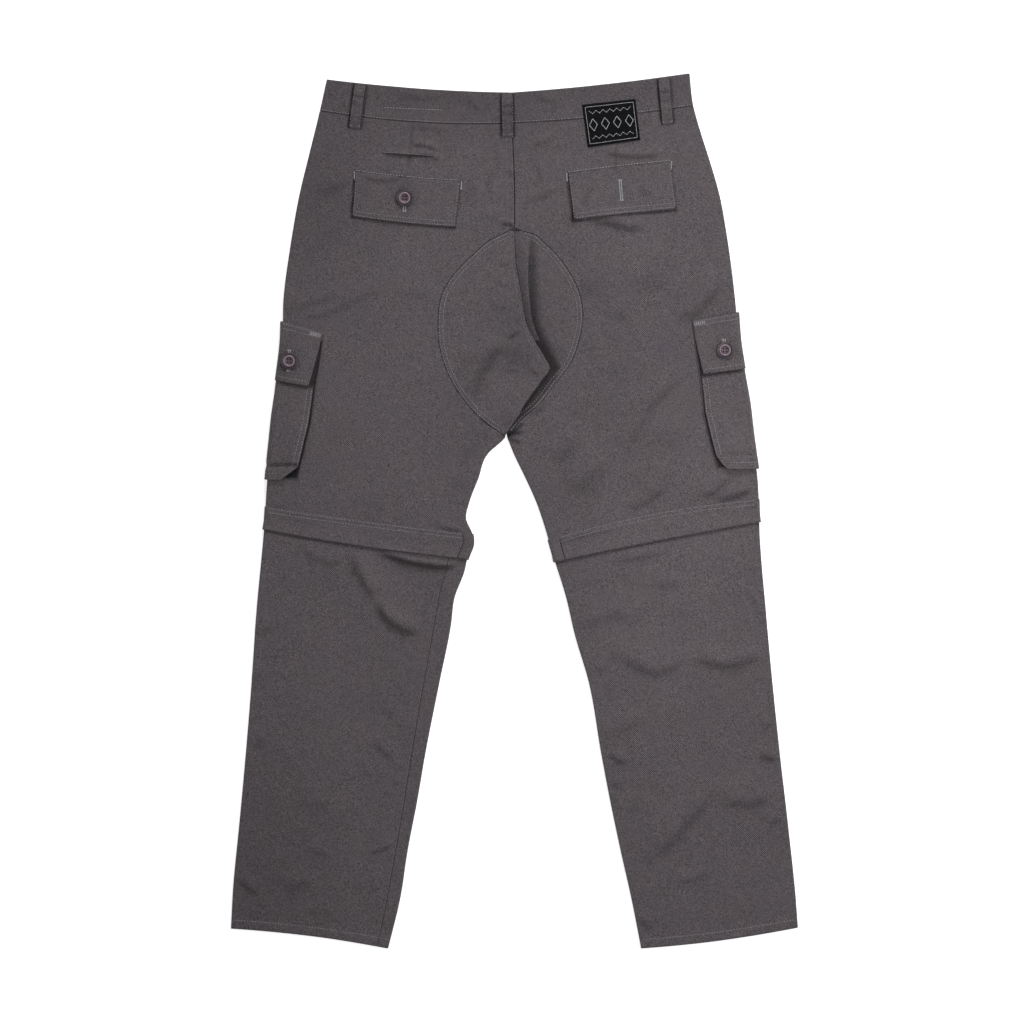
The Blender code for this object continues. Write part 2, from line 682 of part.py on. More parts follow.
def quad_grid(corners, across, down):
    """Plan points over a four-cornered piece, rows from its top edge to its bottom edge."""
    tl, tr, br, bl = (np.array(c, float) for c in corners)
    u = np.linspace(0, 1, across)[None, :, None]
    v = np.linspace(0, 1, down)[:, None, None]
    return (tl * (1 - u) + tr * u) * (1 - v) + (bl * (1 - u) + br * u) * v


def lay_on_back(plan, off):
    """The plan points of a grid, standing off the upper layer."""
    rows, columns = plan.shape[:2]
    return on_face(plan.reshape(-1, 2), 1, -off).reshape(rows, columns, 3)


def add_back_flaps_and_label():
    for side, corners in BACK_FLAPS.items():
        plan = quad_grid(corners, *BACK_FLAP_GRID)
        outer = lay_on_back(plan, LAYER_GAP + FLAP_CLOTH)
        add_wall(f"back_flap_{side_name(side)}", outer, lay_on_back(plan, LAYER_GAP), colour=TWILL_DARK)
    plan = quad_grid(LABEL, *LABEL_GRID)
    outer = lay_on_back(plan, LABEL_OFF + CLOTH)
    add_wall("label_patch", outer, lay_on_back(plan, LABEL_OFF), colour=LABEL_BLACK, roughness=0.75)


def add_belt_loops():
    """Each loop is sewn down at both ends and stands off the waistband between them."""
    for name, (upper, lower) in BELT_LOOPS.items():
        upper, lower = np.array(upper, float), np.array(lower, float)
        run = (lower - upper) / np.linalg.norm(lower - upper)
        half = np.array([-run[1], run[0]]) * LOOP_WIDTH / 2
        v = np.linspace(0, 1, LOOP_STEPS)
        middle = upper + (lower - upper) * v[:, None]
        plan = np.stack([middle + half, middle - half], 1)
        free = smooth_step(v / LOOP_SEWN_SHARE) * smooth_step((1 - v) / LOOP_SEWN_SHARE)
        stand = LAYER_GAP + LOOP_RISE * free
        outer = np.stack([on_face(plan[:, i], 1, -stand - CLOTH) for i in (0, 1)], 1)
        inner = np.stack([on_face(plan[:, i], 1, -stand) for i in (0, 1)], 1)
        add_wall(name, outer, inner, colour=TWILL_DARK)


def fold_distances(back, front):
    """Distances round the outer fold, from an edge on the back to an edge on the front."""
    on_back = np.linspace(back, FOLD_ARC, CARGO_COLUMNS[0] + 1)
    on_front = np.linspace(-FOLD_ARC, -front, CARGO_COLUMNS[1] + 1)
    return np.concatenate([on_back, [FOLD_ARC / 2, 0, -FOLD_ARC / 2], on_front])


def add_cargo_flap(side):
    """A flap over the cargo pocket, round the outer fold."""
    sizes = CARGO[side]
    upper, lower = (wrap_distance(v) for v in sizes["flap_back"])
    top_line, bottom_line = flap_line(side, "flap_top"), flap_line(side, "flap_bottom")
    sheets = [[], []]
    for v in np.linspace(0, 1, CARGO_FLAP_ROWS):
        s = fold_distances(upper + (lower - upper) * v, wrap_distance(sizes["flap_front"]))
        y = top_line(s) * (1 - v) + bottom_line(s) * v
        sheets[0].append(wrap(side, s, y, CARGO_FLAP_OFF + FLAP_CLOTH))
        sheets[1].append(wrap(side, s, y, CARGO_FLAP_OFF))
    add_wall(f"cargo_flap_{side_name(side)}", *(np.stack(s) for s in sheets), colour=TWILL_DARK)


def face_back(side, t):
    """Width of the pocket's face on the back, from its top (0) to its bottom (1)."""
    return wrap_distance(np.interp(t, (0, FACE_BEND, 1), CARGO[side]["face_back"]))


def add_cargo_pocket(side):
    """The pocket's face, round the outer fold over its gusset."""
    sizes = CARGO[side]
    top_line = pocket_top(side)
    sheets = [[], []]
    for v in np.linspace(0, 1, POCKET_ROWS):
        s = fold_distances(face_back(side, v), wrap_distance(sizes["face_front"]))
        y = top_line(s) * (1 - v) + sizes["bottom"] * v
        off = POCKET_OFF + pocket_bulge(side, s, y)
        sheets[0].append(wrap(side, s, y, off + CLOTH))
        sheets[1].append(wrap(side, s, y, off))
    add_wall(f"cargo_pocket_{side_name(side)}", *(np.stack(s) for s in sheets))


def gusset_paths(side):
    """The gusset's edge on the leg and its edge on the face, as pairs of distance round the fold and Y."""
    sizes = CARGO[side]
    top_line = pocket_top(side)
    floor = sizes["bottom"] + GUSSET_INSET["bottom"]
    front = wrap_distance(sizes["face_front"]) - GUSSET_INSET["front"]
    t = np.linspace(0, 1, GUSSET_STEPS)
    back = face_back(side, t) + sizes["gusset_step"]
    down = top_line(back) * (1 - t) + floor * t
    up = floor * (1 - t) + top_line(-front) * t
    mitre = GUSSET_WIDTH + GUSSET_MITRE
    lowest = fold_distances(back[-1] - mitre, front - mitre)
    level = np.full(len(lowest), floor)
    forward = np.full(len(t), -front)
    raised = floor + GUSSET_WIDTH
    sewn = [(back, down), (lowest, level), (forward, up)]
    inner = [
        (back - GUSSET_WIDTH, np.maximum(down, raised)),
        (lowest, level + GUSSET_WIDTH),
        (forward + GUSSET_WIDTH, np.maximum(up, raised)),
    ]
    return [tuple(np.concatenate(part) for part in zip(*path)) for path in (sewn, inner)]


def add_cargo_gusset(side):
    """A strip under the face's back, bottom and front edges, which joins the face to the leg."""
    sewn, raised = gusset_paths(side)
    bulge = GUSSET_RISE * pocket_bulge(side, *raised)
    sheets = []
    for off in (GUSSET_OFF + CLOTH, GUSSET_OFF):
        edges = [wrap(side, *sewn, off), wrap(side, *raised, off + bulge)]
        sheets.append(np.stack(edges, 1))
    add_wall(f"cargo_gusset_{side_name(side)}", *sheets, colour=TWILL_DARK)


def add_button(name, centre, off):
    """A turned button with a raised rim, standing off the leg's upper face by off at its centre."""
    x, y = (np.array([float(v)]) for v in centre)
    seat = np.array([centre[0], centre[1], top(x, y)[0] + off])
    turn = np.linspace(0, 2 * math.pi, BUTTON_SIDES, endpoint=False)
    rings = []
    for across, up in BUTTON_OUTLINE:
        reach, height = across * BUTTON_RADIUS, up * BUTTON_THICK
        rings.append(seat + np.stack([reach * np.cos(turn), reach * np.sin(turn), 0 * turn + height], 1))
    first, last = 0, (len(rings) - 1) * BUTTON_SIDES
    faces = [tuple(range(first, first + BUTTON_SIDES))[::-1], tuple(range(last, last + BUTTON_SIDES))]
    for low in range(first, last, BUTTON_SIDES):
        for k in range(BUTTON_SIDES):
            m = (k + 1) % BUTTON_SIDES
            high = low + BUTTON_SIDES
            faces.append((low + k, low + m, high + m, high + k))
    add_object(name, np.concatenate(rings), faces, colour=BUTTON_BROWN, roughness=0.3)


def add_buttons():
    add_button("button_back_left", BACK_BUTTON, 2 * LAYER_GAP + FLAP_CLOTH)
    for side in (LEFT, RIGHT):
        off = CARGO_FLAP_OFF + FLAP_CLOTH + LAYER_GAP
        add_button(f"button_cargo_{side_name(side)}", CARGO[side]["button"], off)


def main():
    for old in list(bpy.data.objects):
        bpy.data.objects.remove(old)
    add_upper_panels()
    add_seat_patches()
    add_waistband()
    add_zips_and_bands()
    add_lower_legs()
    for side in (LEFT, RIGHT):
        add_cargo_gusset(side)
        add_cargo_pocket(side)
        add_cargo_flap(side)
    add_back_flaps_and_label()
    add_belt_loops()
    add_buttons()


main()
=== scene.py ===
import math

import bmesh
import bpy
import numpy as np
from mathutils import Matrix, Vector


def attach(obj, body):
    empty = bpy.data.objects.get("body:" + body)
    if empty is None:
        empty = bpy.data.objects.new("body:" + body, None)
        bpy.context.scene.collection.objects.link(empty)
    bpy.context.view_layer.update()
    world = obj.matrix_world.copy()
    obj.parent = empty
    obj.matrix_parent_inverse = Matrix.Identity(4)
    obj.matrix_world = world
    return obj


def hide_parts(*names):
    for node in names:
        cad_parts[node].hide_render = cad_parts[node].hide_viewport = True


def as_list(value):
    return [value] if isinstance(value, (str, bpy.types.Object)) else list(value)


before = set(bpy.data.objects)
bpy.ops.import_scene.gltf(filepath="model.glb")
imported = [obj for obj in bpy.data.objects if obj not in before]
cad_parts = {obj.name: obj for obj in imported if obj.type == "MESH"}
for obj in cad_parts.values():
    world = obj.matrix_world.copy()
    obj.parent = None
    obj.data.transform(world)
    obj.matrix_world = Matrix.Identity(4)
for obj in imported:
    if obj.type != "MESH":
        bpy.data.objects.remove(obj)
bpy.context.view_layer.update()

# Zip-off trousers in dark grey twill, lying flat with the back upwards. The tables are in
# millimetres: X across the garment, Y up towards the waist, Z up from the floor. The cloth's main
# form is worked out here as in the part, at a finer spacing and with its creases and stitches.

MM = 0.001
LEFT = -1
RIGHT = 1
SIDES = {LEFT: "left", RIGHT: "right"}

# Cloth and the gaps between pieces
CLOTH = 0.8
WAIST_CLOTH = 2.0
FLAP_CLOTH = 1.1
SEAM_GAP = 0.3
FRONT_GAP = 0.05
LAYER_GAP = 0.25
LEG_THICK = 4.2
WAIST_THICK = 5.2
WAIST_RISE = 24.0
FOLD_RADIUS = LEG_THICK / 2
FOLD_ARC = 3.3
FOLD_SEAM_ANGLE = 10.0
BAND_OFF = LAYER_GAP
GUSSET_OFF = LAYER_GAP
POCKET_OFF = GUSSET_OFF + CLOTH + LAYER_GAP
CARGO_FLAP_OFF = POCKET_OFF + CLOTH + LAYER_GAP
LIFT_RAMP = {"under": 23.0, "over": 62.0}
PLATEAU_ACROSS = 6.0
PLATEAU_ABOVE = 18.0
PLATEAU_BELOW = 12.0

# Side edges of the legs, as Y and X
OUTER = {
    LEFT: [
        (526, -224), (481, -234), (436, -245), (378, -259), (321, -269), (254, -277.5),
        (206, -278.5), (148, -285.5), (90, -291.5), (42, -296.5), (-22, -301), (-118, -310),
        (-205, -316), (-291, -323), (-378, -331), (-450, -338), (-506, -341),
    ],
    RIGHT: [
        (530, 210), (487, 215), (455, 224), (417, 236), (378, 247), (340, 254),
        (282, 262), (244, 266), (206, 269), (148, 278), (90, 285), (38, 292),
        (-34, 295), (-118, 302), (-205, 310), (-291, 319), (-378, 329), (-464, 338),
        (-505, 341),
    ],
}
INNER = {
    LEFT: [
        (96, -8), (89, -11), (69, -32), (40, -43), (11, -54), (-8, -58), (-28, -50), (-40, -49.5),
        (-58, -57), (-70, -59.5), (-104, -72), (-135, -76), (-205, -90), (-291, -107), (-349, -117),
        (-406, -128), (-464, -137), (-530, -153),
    ],
    RIGHT: [
        (96, -12), (89, -9), (69, -1), (40, 13), (11, 26), (-18, 36), (-46, 44),
        (-104, 62), (-147, 72), (-205, 89), (-291, 104), (-349, 115), (-406, 127),
        (-464, 140), (-530, 153),
    ],
}

# Seam lines that run down the garment, as Y and X
CENTRE_BACK = [(510, -4), (466, -3), (420, -1), (383, 0), (336, 0)]
CENTRE_FRONT = [(510, -6), (466, -6), (336, -4), (200, -5), (89, -10)]
PATCH_EDGE = {
    LEFT: [
        (338, -4), (327, -27), (308, -50), (282, -75), (261, -87), (230, -92), (197, -90),
        (167, -81), (135, -62), (110, -39), (92, -14),
    ],
    RIGHT: [
        (338, 4), (334, 19), (322, 36), (297, 59), (272, 74), (240, 82), (207, 78),
        (174, 65), (154, 49), (127, 28), (110, 8), (92, -6),
    ],
}
SEAT_SEAM = [
    (338, 0), (297, 2), (274, 6), (251, 10), (228, 14), (201, 24), (182, 34), (172, 39),
    (160, 31), (129, 9), (108, -2), (92, -10),
]
INSEAM_LEFT = [
    (-46, -78), (-68, -81), (-93, -88), (-148, -98), (-225, -112), (-406, -142),
    (-488, -157), (-530, -166),
]
PATCH_TOP = 337.0
CROTCH = 91.0
PATCH_TOP_OUTER = 362.0
CROTCH_OUTER = 104.0

# Seam lines that run across a half: Y at the outer fold, Y at the inner end, bow at the middle
CROSS = {
    "waist_top": {LEFT: (519, 503, -3), RIGHT: (526, 503, -2)},
    "waist_seam": {LEFT: (481, 466, -6), RIGHT: (487, 466, -3)},
    "front_top": {LEFT: (517, 488, -2), RIGHT: (524, 488, -2)},
    "front_seam": {LEFT: (481, 450, -2), RIGHT: (487, 450, -2)},
    "band_top": {LEFT: (6, -27, -1), RIGHT: (15, -34, 7)},
    "band_bottom": {LEFT: (-22, -58, -3), RIGHT: (-13, -61, 1)},
    "hem": {LEFT: (-501, -525, 3), RIGHT: (-500, -525, -3)},
}
BAND_ROW = 3.0
UPPER_END = -6.0
ZIP_START = -6.3
ZIP_END = -19.0
LOWER_START = -19.3

# Creases of the upper layer, each from left to right: its points, the width of its steep lower side,
# the height of its crest before CREASE_RISE, and how dark the shade painted inside it is before it
# is scaled by the crease shade factor
CREASES = [
    # Back and thighs
    ([(-242, 377), (-218, 388), (-197, 396)], 9, 1.0, 0.05),
    ([(-17, 343), (-6, 345), (2, 340)], 3, 1.2, 0.22),
    ([(84, 349), (114, 345), (136, 339), (162, 341)], 8, 2.0, 0.12),
    ([(97, 431), (140, 425), (166, 427), (188, 430)], 4, 1.3, 0.10),
    ([(-162, 434), (-151, 428), (-127, 426), (-86, 428)], 3, 1.4, 0.16),
    ([(-127, 440), (-106, 438), (-86, 430)], 3, 1.2, 0.14),
    ([(-127, 461), (-101, 459), (-75, 456)], 4, 0.7, 0.05),
    ([(-274, 239), (-231, 252), (-205, 261)], 6, 0.8, 0.05),
    ([(-270, 231), (-235, 233), (-205, 244), (-175, 261), (-150, 265)], 6, 0.9, 0.05),
    ([(-149, 261), (-114, 259), (-93, 252)], 7, 0.7, 0.03),
    ([(192, 227), (222, 239), (240, 261), (249, 283)], 9, 2.0, 0.09),
    ([(136, 62), (153, 105), (166, 127), (190, 150), (214, 174)], 9, 1.9, 0.06),
    ([(50, 53), (67, 75), (80, 97)], 14, 1.9, 0.05),
    ([(71, 19), (97, 45), (115, 62)], 15, 1.9, 0.05),
    ([(162, 15), (175, 32), (192, 54)], 11, 1.5, 0.04),
    ([(74, 112), (97, 140)], 12, 1.1, 0.03),
    ([(222, 15), (240, 22), (262, 44)], 7, 1.7, 0.10),
    ([(239, 12), (262, 17), (289, 27)], 6, 1.9, 0.14),
    ([(132, -2), (161, 11), (186, 31)], 8, 1.6, 0.07),
    # Hips, waistband and flaps
    ([(-40, 360), (-26, 351), (-10, 343)], 5, 0.7, 0.03),
    ([(-48, 402), (-52, 385), (-60, 366)], 5, 1.0, 0.06),
    ([(-28, 414), (-30, 395), (-31, 376)], 5, 0.8, 0.05),
    ([(-14, 412), (-4, 404), (8, 408)], 5, 0.8, 0.06),
    ([(-22, 440), (-18, 420), (-22, 400)], 5, 0.6, 0.04),
    ([(26, 420), (30, 400), (24, 384)], 5, 0.7, 0.05),
    ([(-112, 420), (-98, 424), (-84, 421)], 3, 0.8, 0.06),
    ([(16, 437), (34, 441), (50, 448)], 6, 1.0, 0.05),
    ([(8, 369), (34, 377), (60, 390)], 6, 1.1, 0.05),
    ([(-60, 500), (-52, 488), (-40, 478)], 6, 0.7, 0.05),
    ([(20, 500), (40, 492), (60, 490)], 5, 0.7, 0.04),
    ([(-150, 500), (-110, 494), (-80, 497)], 5, 0.7, 0.04),
    ([(-188, 403), (-166, 397), (-149, 397), (-132, 402), (-118, 395)], 3.4, 0.8, 0.09),
    ([(97, 399), (86, 377), (80, 365)], 4, 0.6, 0.06),
    ([(149, 395), (158, 382), (171, 375)], 4, 0.6, 0.05),
    # Zip bands
    ([(-95, -18), (-75, -22), (-58, -24)], 3.0, 1.0, 0.10),
    ([(46, -38), (90, -29), (141, -17)], 3.0, 0.7, 0.07),
    # Seat
    ([(-47, 126), (-42, 158), (-28, 185), (-4, 205)], 12, 3.0, 0.12),
    ([(6, 170), (1, 187), (4, 205)], 5, 1.3, 0.10),
    ([(-14, 172), (-2, 166), (10, 170)], 4, 0.9, 0.06),
    ([(12, 176), (24, 166), (34, 160)], 4, 0.9, 0.06),
    ([(-30, 250), (-16, 244), (-4, 247)], 4, 0.7, 0.05),
    ([(-22, 300), (-12, 296), (-3, 299)], 3, 0.6, 0.05),
    ([(-24, 275), (-13, 271), (-3, 273)], 3, 0.6, 0.05),
    ([(-9, 205), (-1, 211), (9, 219)], 3, 1.2, 0.12),
    ([(-62, 176), (-40, 186)], 9, 0.8, 0.03),
    # Crotch
    ([(-12, 89), (4, 100), (14, 109)], 3.4, 1.5, 0.32),
    ([(-12, 90), (2, 94), (14, 96)], 3.2, 1.3, 0.28),
    ([(-10, 90), (1, 84), (10, 82)], 3.2, 1.1, 0.24),
    ([(14, 112), (30, 122), (44, 138)], 7, 1.0, 0.07),
    ([(-20, 96), (-40, 104), (-62, 106)], 6, 0.9, 0.06),
    # Left knee
    ([(-262, -38), (-242, -57), (-221, -64), (-198, -57)], 8, 1.1, 0.05),
    ([(-196, -46), (-191, -71), (-178, -92), (-167, -113)], 9, 2.6, 0.07),
    ([(-171, -104), (-155, -130), (-134, -144), (-108, -146)], 9, 3.8, 0.10),
    ([(-170, -48), (-146, -56), (-122, -63), (-94, -67), (-75, -67), (-60, -58)], 5, 4.2, 0.26),
    # Left lower leg
    ([(-311, -149), (-290, -137)], 7, 0.9, 0.06),
    ([(-314, -206), (-298, -189)], 7, 0.8, 0.05),
    ([(-316, -285), (-296, -272)], 8, 0.9, 0.05),
    ([(-164, -227), (-146, -250)], 6, 0.7, 0.03),
    ([(-172, -274), (-160, -288), (-143, -302)], 7, 1.1, 0.06),
    ([(-148, -329), (-133, -325)], 4, 0.8, 0.08),
    ([(-264, -349), (-240, -357), (-216, -350)], 12, 1.0, 0.03),
    ([(-177, -411), (-165, -409), (-145, -400)], 4, 1.0, 0.10),
    ([(-252, -406), (-235, -411), (-221, -413)], 7, 0.7, 0.03),
    ([(-334, -439), (-320, -453), (-305, -463)], 6, 1.2, 0.09),
    ([(-276, -461), (-259, -449), (-240, -444)], 9, 1.2, 0.05),
    ([(-246, -487), (-228, -480), (-215, -487)], 6, 0.8, 0.04),
    # Right lower leg
    ([(118, -61), (147, -57), (185, -49)], 6, 1.2, 0.07),
    ([(161, -88), (180, -90), (204, -86)], 8, 0.9, 0.04),
    ([(76, -149), (90, -135), (119, -126), (147, -130)], 11, 1.1, 0.04),
    ([(111, -181), (128, -176), (147, -188), (171, -197), (194, -186), (211, -174)], 11, 2.3, 0.06),
    ([(205, -176), (227, -182), (256, -187), (280, -181), (303, -169)], 10, 2.6, 0.08),
    ([(106, -276), (119, -268), (142, -257), (161, -246)], 11, 1.2, 0.04),
    ([(111, -291), (123, -299), (138, -305)], 5, 1.1, 0.12),
    ([(116, -331), (133, -325)], 5, 0.9, 0.08),
    ([(95, -188), (109, -194)], 6, 0.8, 0.06),
    ([(292, -293), (307, -298), (318, -297)], 6, 1.5, 0.15),
    ([(293, -255), (313, -257)], 4, 0.8, 0.07),
    ([(246, -359), (260, -350), (279, -354), (298, -347), (315, -335)], 11, 2.1, 0.05),
    ([(305, -378), (322, -366)], 7, 1.0, 0.06),
    ([(156, -428), (180, -406), (204, -382), (227, -354), (246, -321)], 11, 2.5, 0.06),
    ([(189, -446), (213, -444), (242, -432)], 5, 0.9, 0.04),
    ([(139, -368), (147, -352), (152, -335)], 10, 1.0, 0.03),
    ([(279, -95), (300, -132)], 7, 0.8, 0.03),
    ([(147, -486), (166, -505)], 8, 0.9, 0.09),
]
CREST_REACH = 2.6
CREASE_RISE = 1.45
# How strongly the shade painted in the creases darkens the cloth
CREASE_PAINTED_SHADE = 2.2
DARKEST = -0.88

# Soft patches of painted light and shade where light falls unevenly on the cloth, and painted shadows
# round the buttons: X, Y, half width, half height, amount
LIGHT_AND_SHADE_PATCHES = [
    (89, 267, 14, 12, -0.22), (127, 235, 9, 8, -0.18), (160, 273, 18, 10, -0.12),
    (182, 82, 20, 14, -0.14), (81, 19, 22, 20, -0.12), (-54, 71, 15, 12, -0.14),
    (-67, 32, 12, 12, -0.12), (-170, 313, 12, 12, -0.09), (-67, 172, 10, 9, -0.10),
    (270, 123, 10, 12, -0.10), (-10, 150, 26, 14, 0.07), (-150, -90, 34, 24, 0.08),
    (180, -360, 26, 22, 0.05), (205, -160, 60, 8, 0.05), (270, -318, 30, 10, 0.05),
    (150, 330, 60, 30, 0.03), (0, 400, 10, 60, -0.04), (-60, 390, 8, 16, -0.06),
    (71, 350, 9, 9, -0.25), (-8, 476, 9, 24, -0.06),
    (-40, 540, 260, 70, -0.34), (-235, 380, 80, 110, -0.20), (-290, 150, 40, 200, -0.10),
    (190, -60, 110, 190, 0.15), (-300, -450, 80, 140, -0.18), (10, 215, 38, 55, -0.14),
    (260, 80, 60, 120, 0.06), (-132, 376, 12, 12, -0.4), (-270, 180, 12, 12, -0.4),
    (252, 193, 12, 12, -0.4),
]

# Painted shadows beside sewn-on edges, and painted shade in the ditches of seams, darts and the tuck:
# points, half width, how dark
EDGE_PAINTED_SHADOWS = [
    ([(-192, 406), (-195.8, 354)], 2.3, 0.75),
    ([(-64.8, 396), (-70.8, 341)], 1.9, 0.45),
    ([(-195, 353.2), (-133, 346), (-71, 340)], 2.6, 0.45),
    ([(-191, 409), (-128, 402), (-65, 397)], 1.5, 0.3),
    ([(63.4, 405), (70, 349)], 2.8, 0.8),
    ([(70, 348.4), (194, 361.4)], 2.4, 0.55),
    ([(188, 419), (194.8, 363)], 1.8, 0.45),
    ([(64, 406.5), (187, 420.5)], 1.5, 0.3),
    ([(-122.4, 462), (-127.5, 413)], 2.4, 0.34),
    ([(121, 436), (121.2, 411)], 2.4, 0.30),
    ([(-4, 508), (-3, 466), (-1, 420), (0, 383), (0, 340)], 2.2, 0.12),
    ([(-160, 430), (-124, 427.4), (-98, 425.4)], 1.8, 0.5),
]

# Painted shadows below cross seams: seam, how far below it, half width, how dark
SEAM_PAINTED_SHADOWS = [("band_bottom", 1.4, 2.6, 0.5), ("waist_seam", 0.9, 1.5, 0.3)]

# Darts as their upper and lower ends, with the depth and half width of their ditch
DARTS = [((-122.4, 462), (-127.5, 413)), ((121, 436), (121.2, 411))]
DART_DEPTH = 0.8
DART_REACH = 2.2

# The seat's right half in the shade of the pleat and lap: Y, X where the shade ends, how softly,
# how dark
SEAT_SHADE = [
    (336, 26, 5, 0.20), (318, 31, 11, 0.46), (270, 34, 14, 0.56), (230, 37, 15, 0.64),
    (212, 43, 16, 0.68), (195, 51, 14, 0.72), (172, 60, 9, 0.72), (158, 52, 6, 0.60),
    (123, 24, 5, 0.58), (110, 12, 5, 0.58), (93, -7, 3, 0.58),
]

# Slow swells of cloth that isn't quite flat: height, wavelength, direction in degrees, phase
SWELLS = [
    (0.30, 173.0, 20, 0.4), (0.24, 118.0, 74, 2.1), (0.20, 86.0, 131, 4.4),
    (0.13, 57.0, 48, 1.3), (0.10, 41.0, 102, 5.2), (0.06, 27.0, 9, 3.3),
]

# The seat's pleat, its ridge as Y and X
SEAT_RIDGE = [(338, 19), (328, 18.6), (278, 16.2), (251, 18), (228, 21), (205, 30)]
RIDGE_HEIGHT = 6.0
RIDGE_TUCK = 2.6
RIDGE_LEAST_WIDTH = 3.0
RIDGE_TOP, RIDGE_TOP_FADE = 336.0, 26.0
RIDGE_FOOT, RIDGE_FOOT_FADE = 190.0, 22.0
LAP_TOP, LAP_TOP_FADE = 232.0, 50.0
LAP_FOOT, LAP_FOOT_FADE = 96.0, 22.0
LAP_HEIGHT = 5.2
LAP_REACH = 52.0
LAP_OVERHANG = 3.0
RECESS_DEPTH = 1.8
RECESS_NEAR, RECESS_FADE = 10.0, 22.0

# Cargo pockets: widths are measured from the outer fold, on the back and on the front
CARGO = {
    LEFT: {
        "flap_back": (48, 38.5), "flap_front": 118, "flap_top": (228, -0.27),
        "flap_bottom": (157, -0.17), "face_back": (46, 43, 34), "face_front": 110,
        "gusset_step": 4.0, "bottom": 38, "button": (-270, 180),
    },
    RIGHT: {
        "flap_back": (54, 49), "flap_front": 112, "flap_top": (239, -0.18),
        "flap_bottom": (171, -0.13), "face_back": (50, 53, 45), "face_front": 104,
        "gusset_step": 3.0, "bottom": 51, "button": (252, 193),
    },
}
POCKET_TOP_DROP = 9.0
POCKET_BULGE = FLAP_CLOTH + LAYER_GAP
BULGE_START = 8.0
BULGE_RUN = 40.0
FACE_BEND = 0.6
GUSSET_WIDTH = 13.0
GUSSET_RISE = 0.75
GUSSET_INSET = {"bottom": 0.5, "front": 1.0}
GUSSET_MITRE = 3.0

# What lies on the back: corners are top left, top right, bottom right, bottom left
BACK_FLAPS = {
    LEFT: [(-191, 408), (-65, 396), (-71, 341), (-195, 354)],
    RIGHT: [(64, 406), (187, 420), (194, 363), (71, 350)],
}
LABEL_OFF = 0.5
LABEL = [(81, 488), (145, 495), (151, 446), (88, 437)]
BELT_LOOPS = {
    "belt_loop_left": ((-185, 513), (-192, 460)),
    "belt_loop_centre": ((-9, 501), (-8, 450)),
    "belt_loop_right": ((179, 519), (184, 465)),
}
LOOP_WIDTH = 14.4
LOOP_RISE = 2.6
LOOP_SEWN_SHARE = 0.25
LOOP_WRINKLES = (0.30, 0.50)

# Dents across a belt loop: share down it, depth, half width as a share
LOOP_DENTS = [(0.30, 0.7, 0.035), (0.48, 0.8, 0.03)]
BACK_BUTTON = (-132, 376)

# Buttonholes of the back flaps: middle, lean, length, how much further they stand off
BACK_HOLES = [((-132.2, 370), 0.02, 20, 0.0), ((127.6, 385.4), 0.08, 24, 0.1)]
BUTTON_RADIUS = 10.0
BUTTON_THICK = 3.4

# Grid on which the cloth's height is worked out
FIELD_STEP = 1.0
FIELD_HALF = (370.0, 550.0)

# Spacing of the visible cloth's points and of the underside's
FINE = 2.4
COARSE = 5.0
RIM = 0.35

# Colours as linear red, green and blue
TWILL_WARM = (0.100, 0.085, 0.084)
TWILL_COOL = (0.090, 0.079, 0.095)
THREAD = (0.27, 0.265, 0.285)
FAINT_THREAD = (0.15, 0.145, 0.155)
BRIGHT_THREAD = (0.42, 0.42, 0.45)
LABEL_BLACK = (0.004, 0.0042, 0.005)
LABEL_GREY = (0.42, 0.43, 0.45)
BUTTON_BROWN = (0.066, 0.045, 0.058)
BUTTON_THREAD = (0.010, 0.008, 0.010)
ZIP_DARK = (0.03, 0.028, 0.03)


def smooth_step(value):
    """0 below 0, 1 above 1, with an even rise between."""
    t = np.clip(value, 0.0, 1.0)
    return t * t * (3 - 2 * t)


def smooth_x(table, y):
    """X at the heights y, on a smooth line through the rows of a table."""
    rows = np.array(table, float)[::-1]
    heights, across = rows[:, 0], rows[:, 1]
    slope = np.gradient(across, heights)
    k = np.clip(np.searchsorted(heights, y) - 1, 0, len(heights) - 2)
    step = heights[k + 1] - heights[k]
    t = (y - heights[k]) / step
    start = across[k] * (1 + 2 * t) * (1 - t) ** 2 + step * slope[k] * t * (1 - t) ** 2
    end = across[k + 1] * t * t * (3 - 2 * t) + step * slope[k + 1] * t * t * (t - 1)
    return start + end


def edge(table, y, sign):
    """Points on an edge at the heights y, and the unit ways across the cloth from them."""
    y = np.atleast_1d(np.asarray(y, float))
    lean = (smooth_x(table, y + 1) - smooth_x(table, y - 1)) / 2
    length = np.hypot(1.0, lean)
    way = np.stack([sign / length, -lean * sign / length], 1)
    return np.stack([smooth_x(table, y), y], 1), way


def resample(line, count):
    """Evenly spaced points along a line of points."""
    run = np.concatenate([[0], np.cumsum(np.linalg.norm(np.diff(line, axis=0), axis=1))])
    where = np.linspace(0, run[-1], count)
    return np.stack([np.interp(where, run, line[:, i]) for i in range(line.shape[1])], 1)


def along(table, high, low, count):
    """Evenly spaced points on a table's line between two heights."""
    y = np.linspace(high, low, 400)
    return resample(np.stack([smooth_x(table, y), y], 1), count)


def ways(line, sign):
    """Unit ways square to a line that runs down, to its right where sign is 1."""
    run = np.gradient(line, axis=0)
    square = np.stack([-run[:, 1], run[:, 0]], 1) * sign
    return square / np.linalg.norm(square, axis=1)[:, None]


def steps(length, spacing=FINE):
    return max(2, int(round(length / spacing)))


def cross(name, side, step=0.0):
    """One seam line across a half, moved along Y by step."""
    outer, inner, bow = CROSS[name][side]
    return outer + step, inner + step, bow


def inner_edge(side, y):
    """X where a half ends: the centre seam above the crotch and the leg's inner fold below it."""
    return np.where(y > CROTCH, smooth_x(CENTRE_FRONT, np.maximum(y, CROTCH)), smooth_x(INNER[side], y))


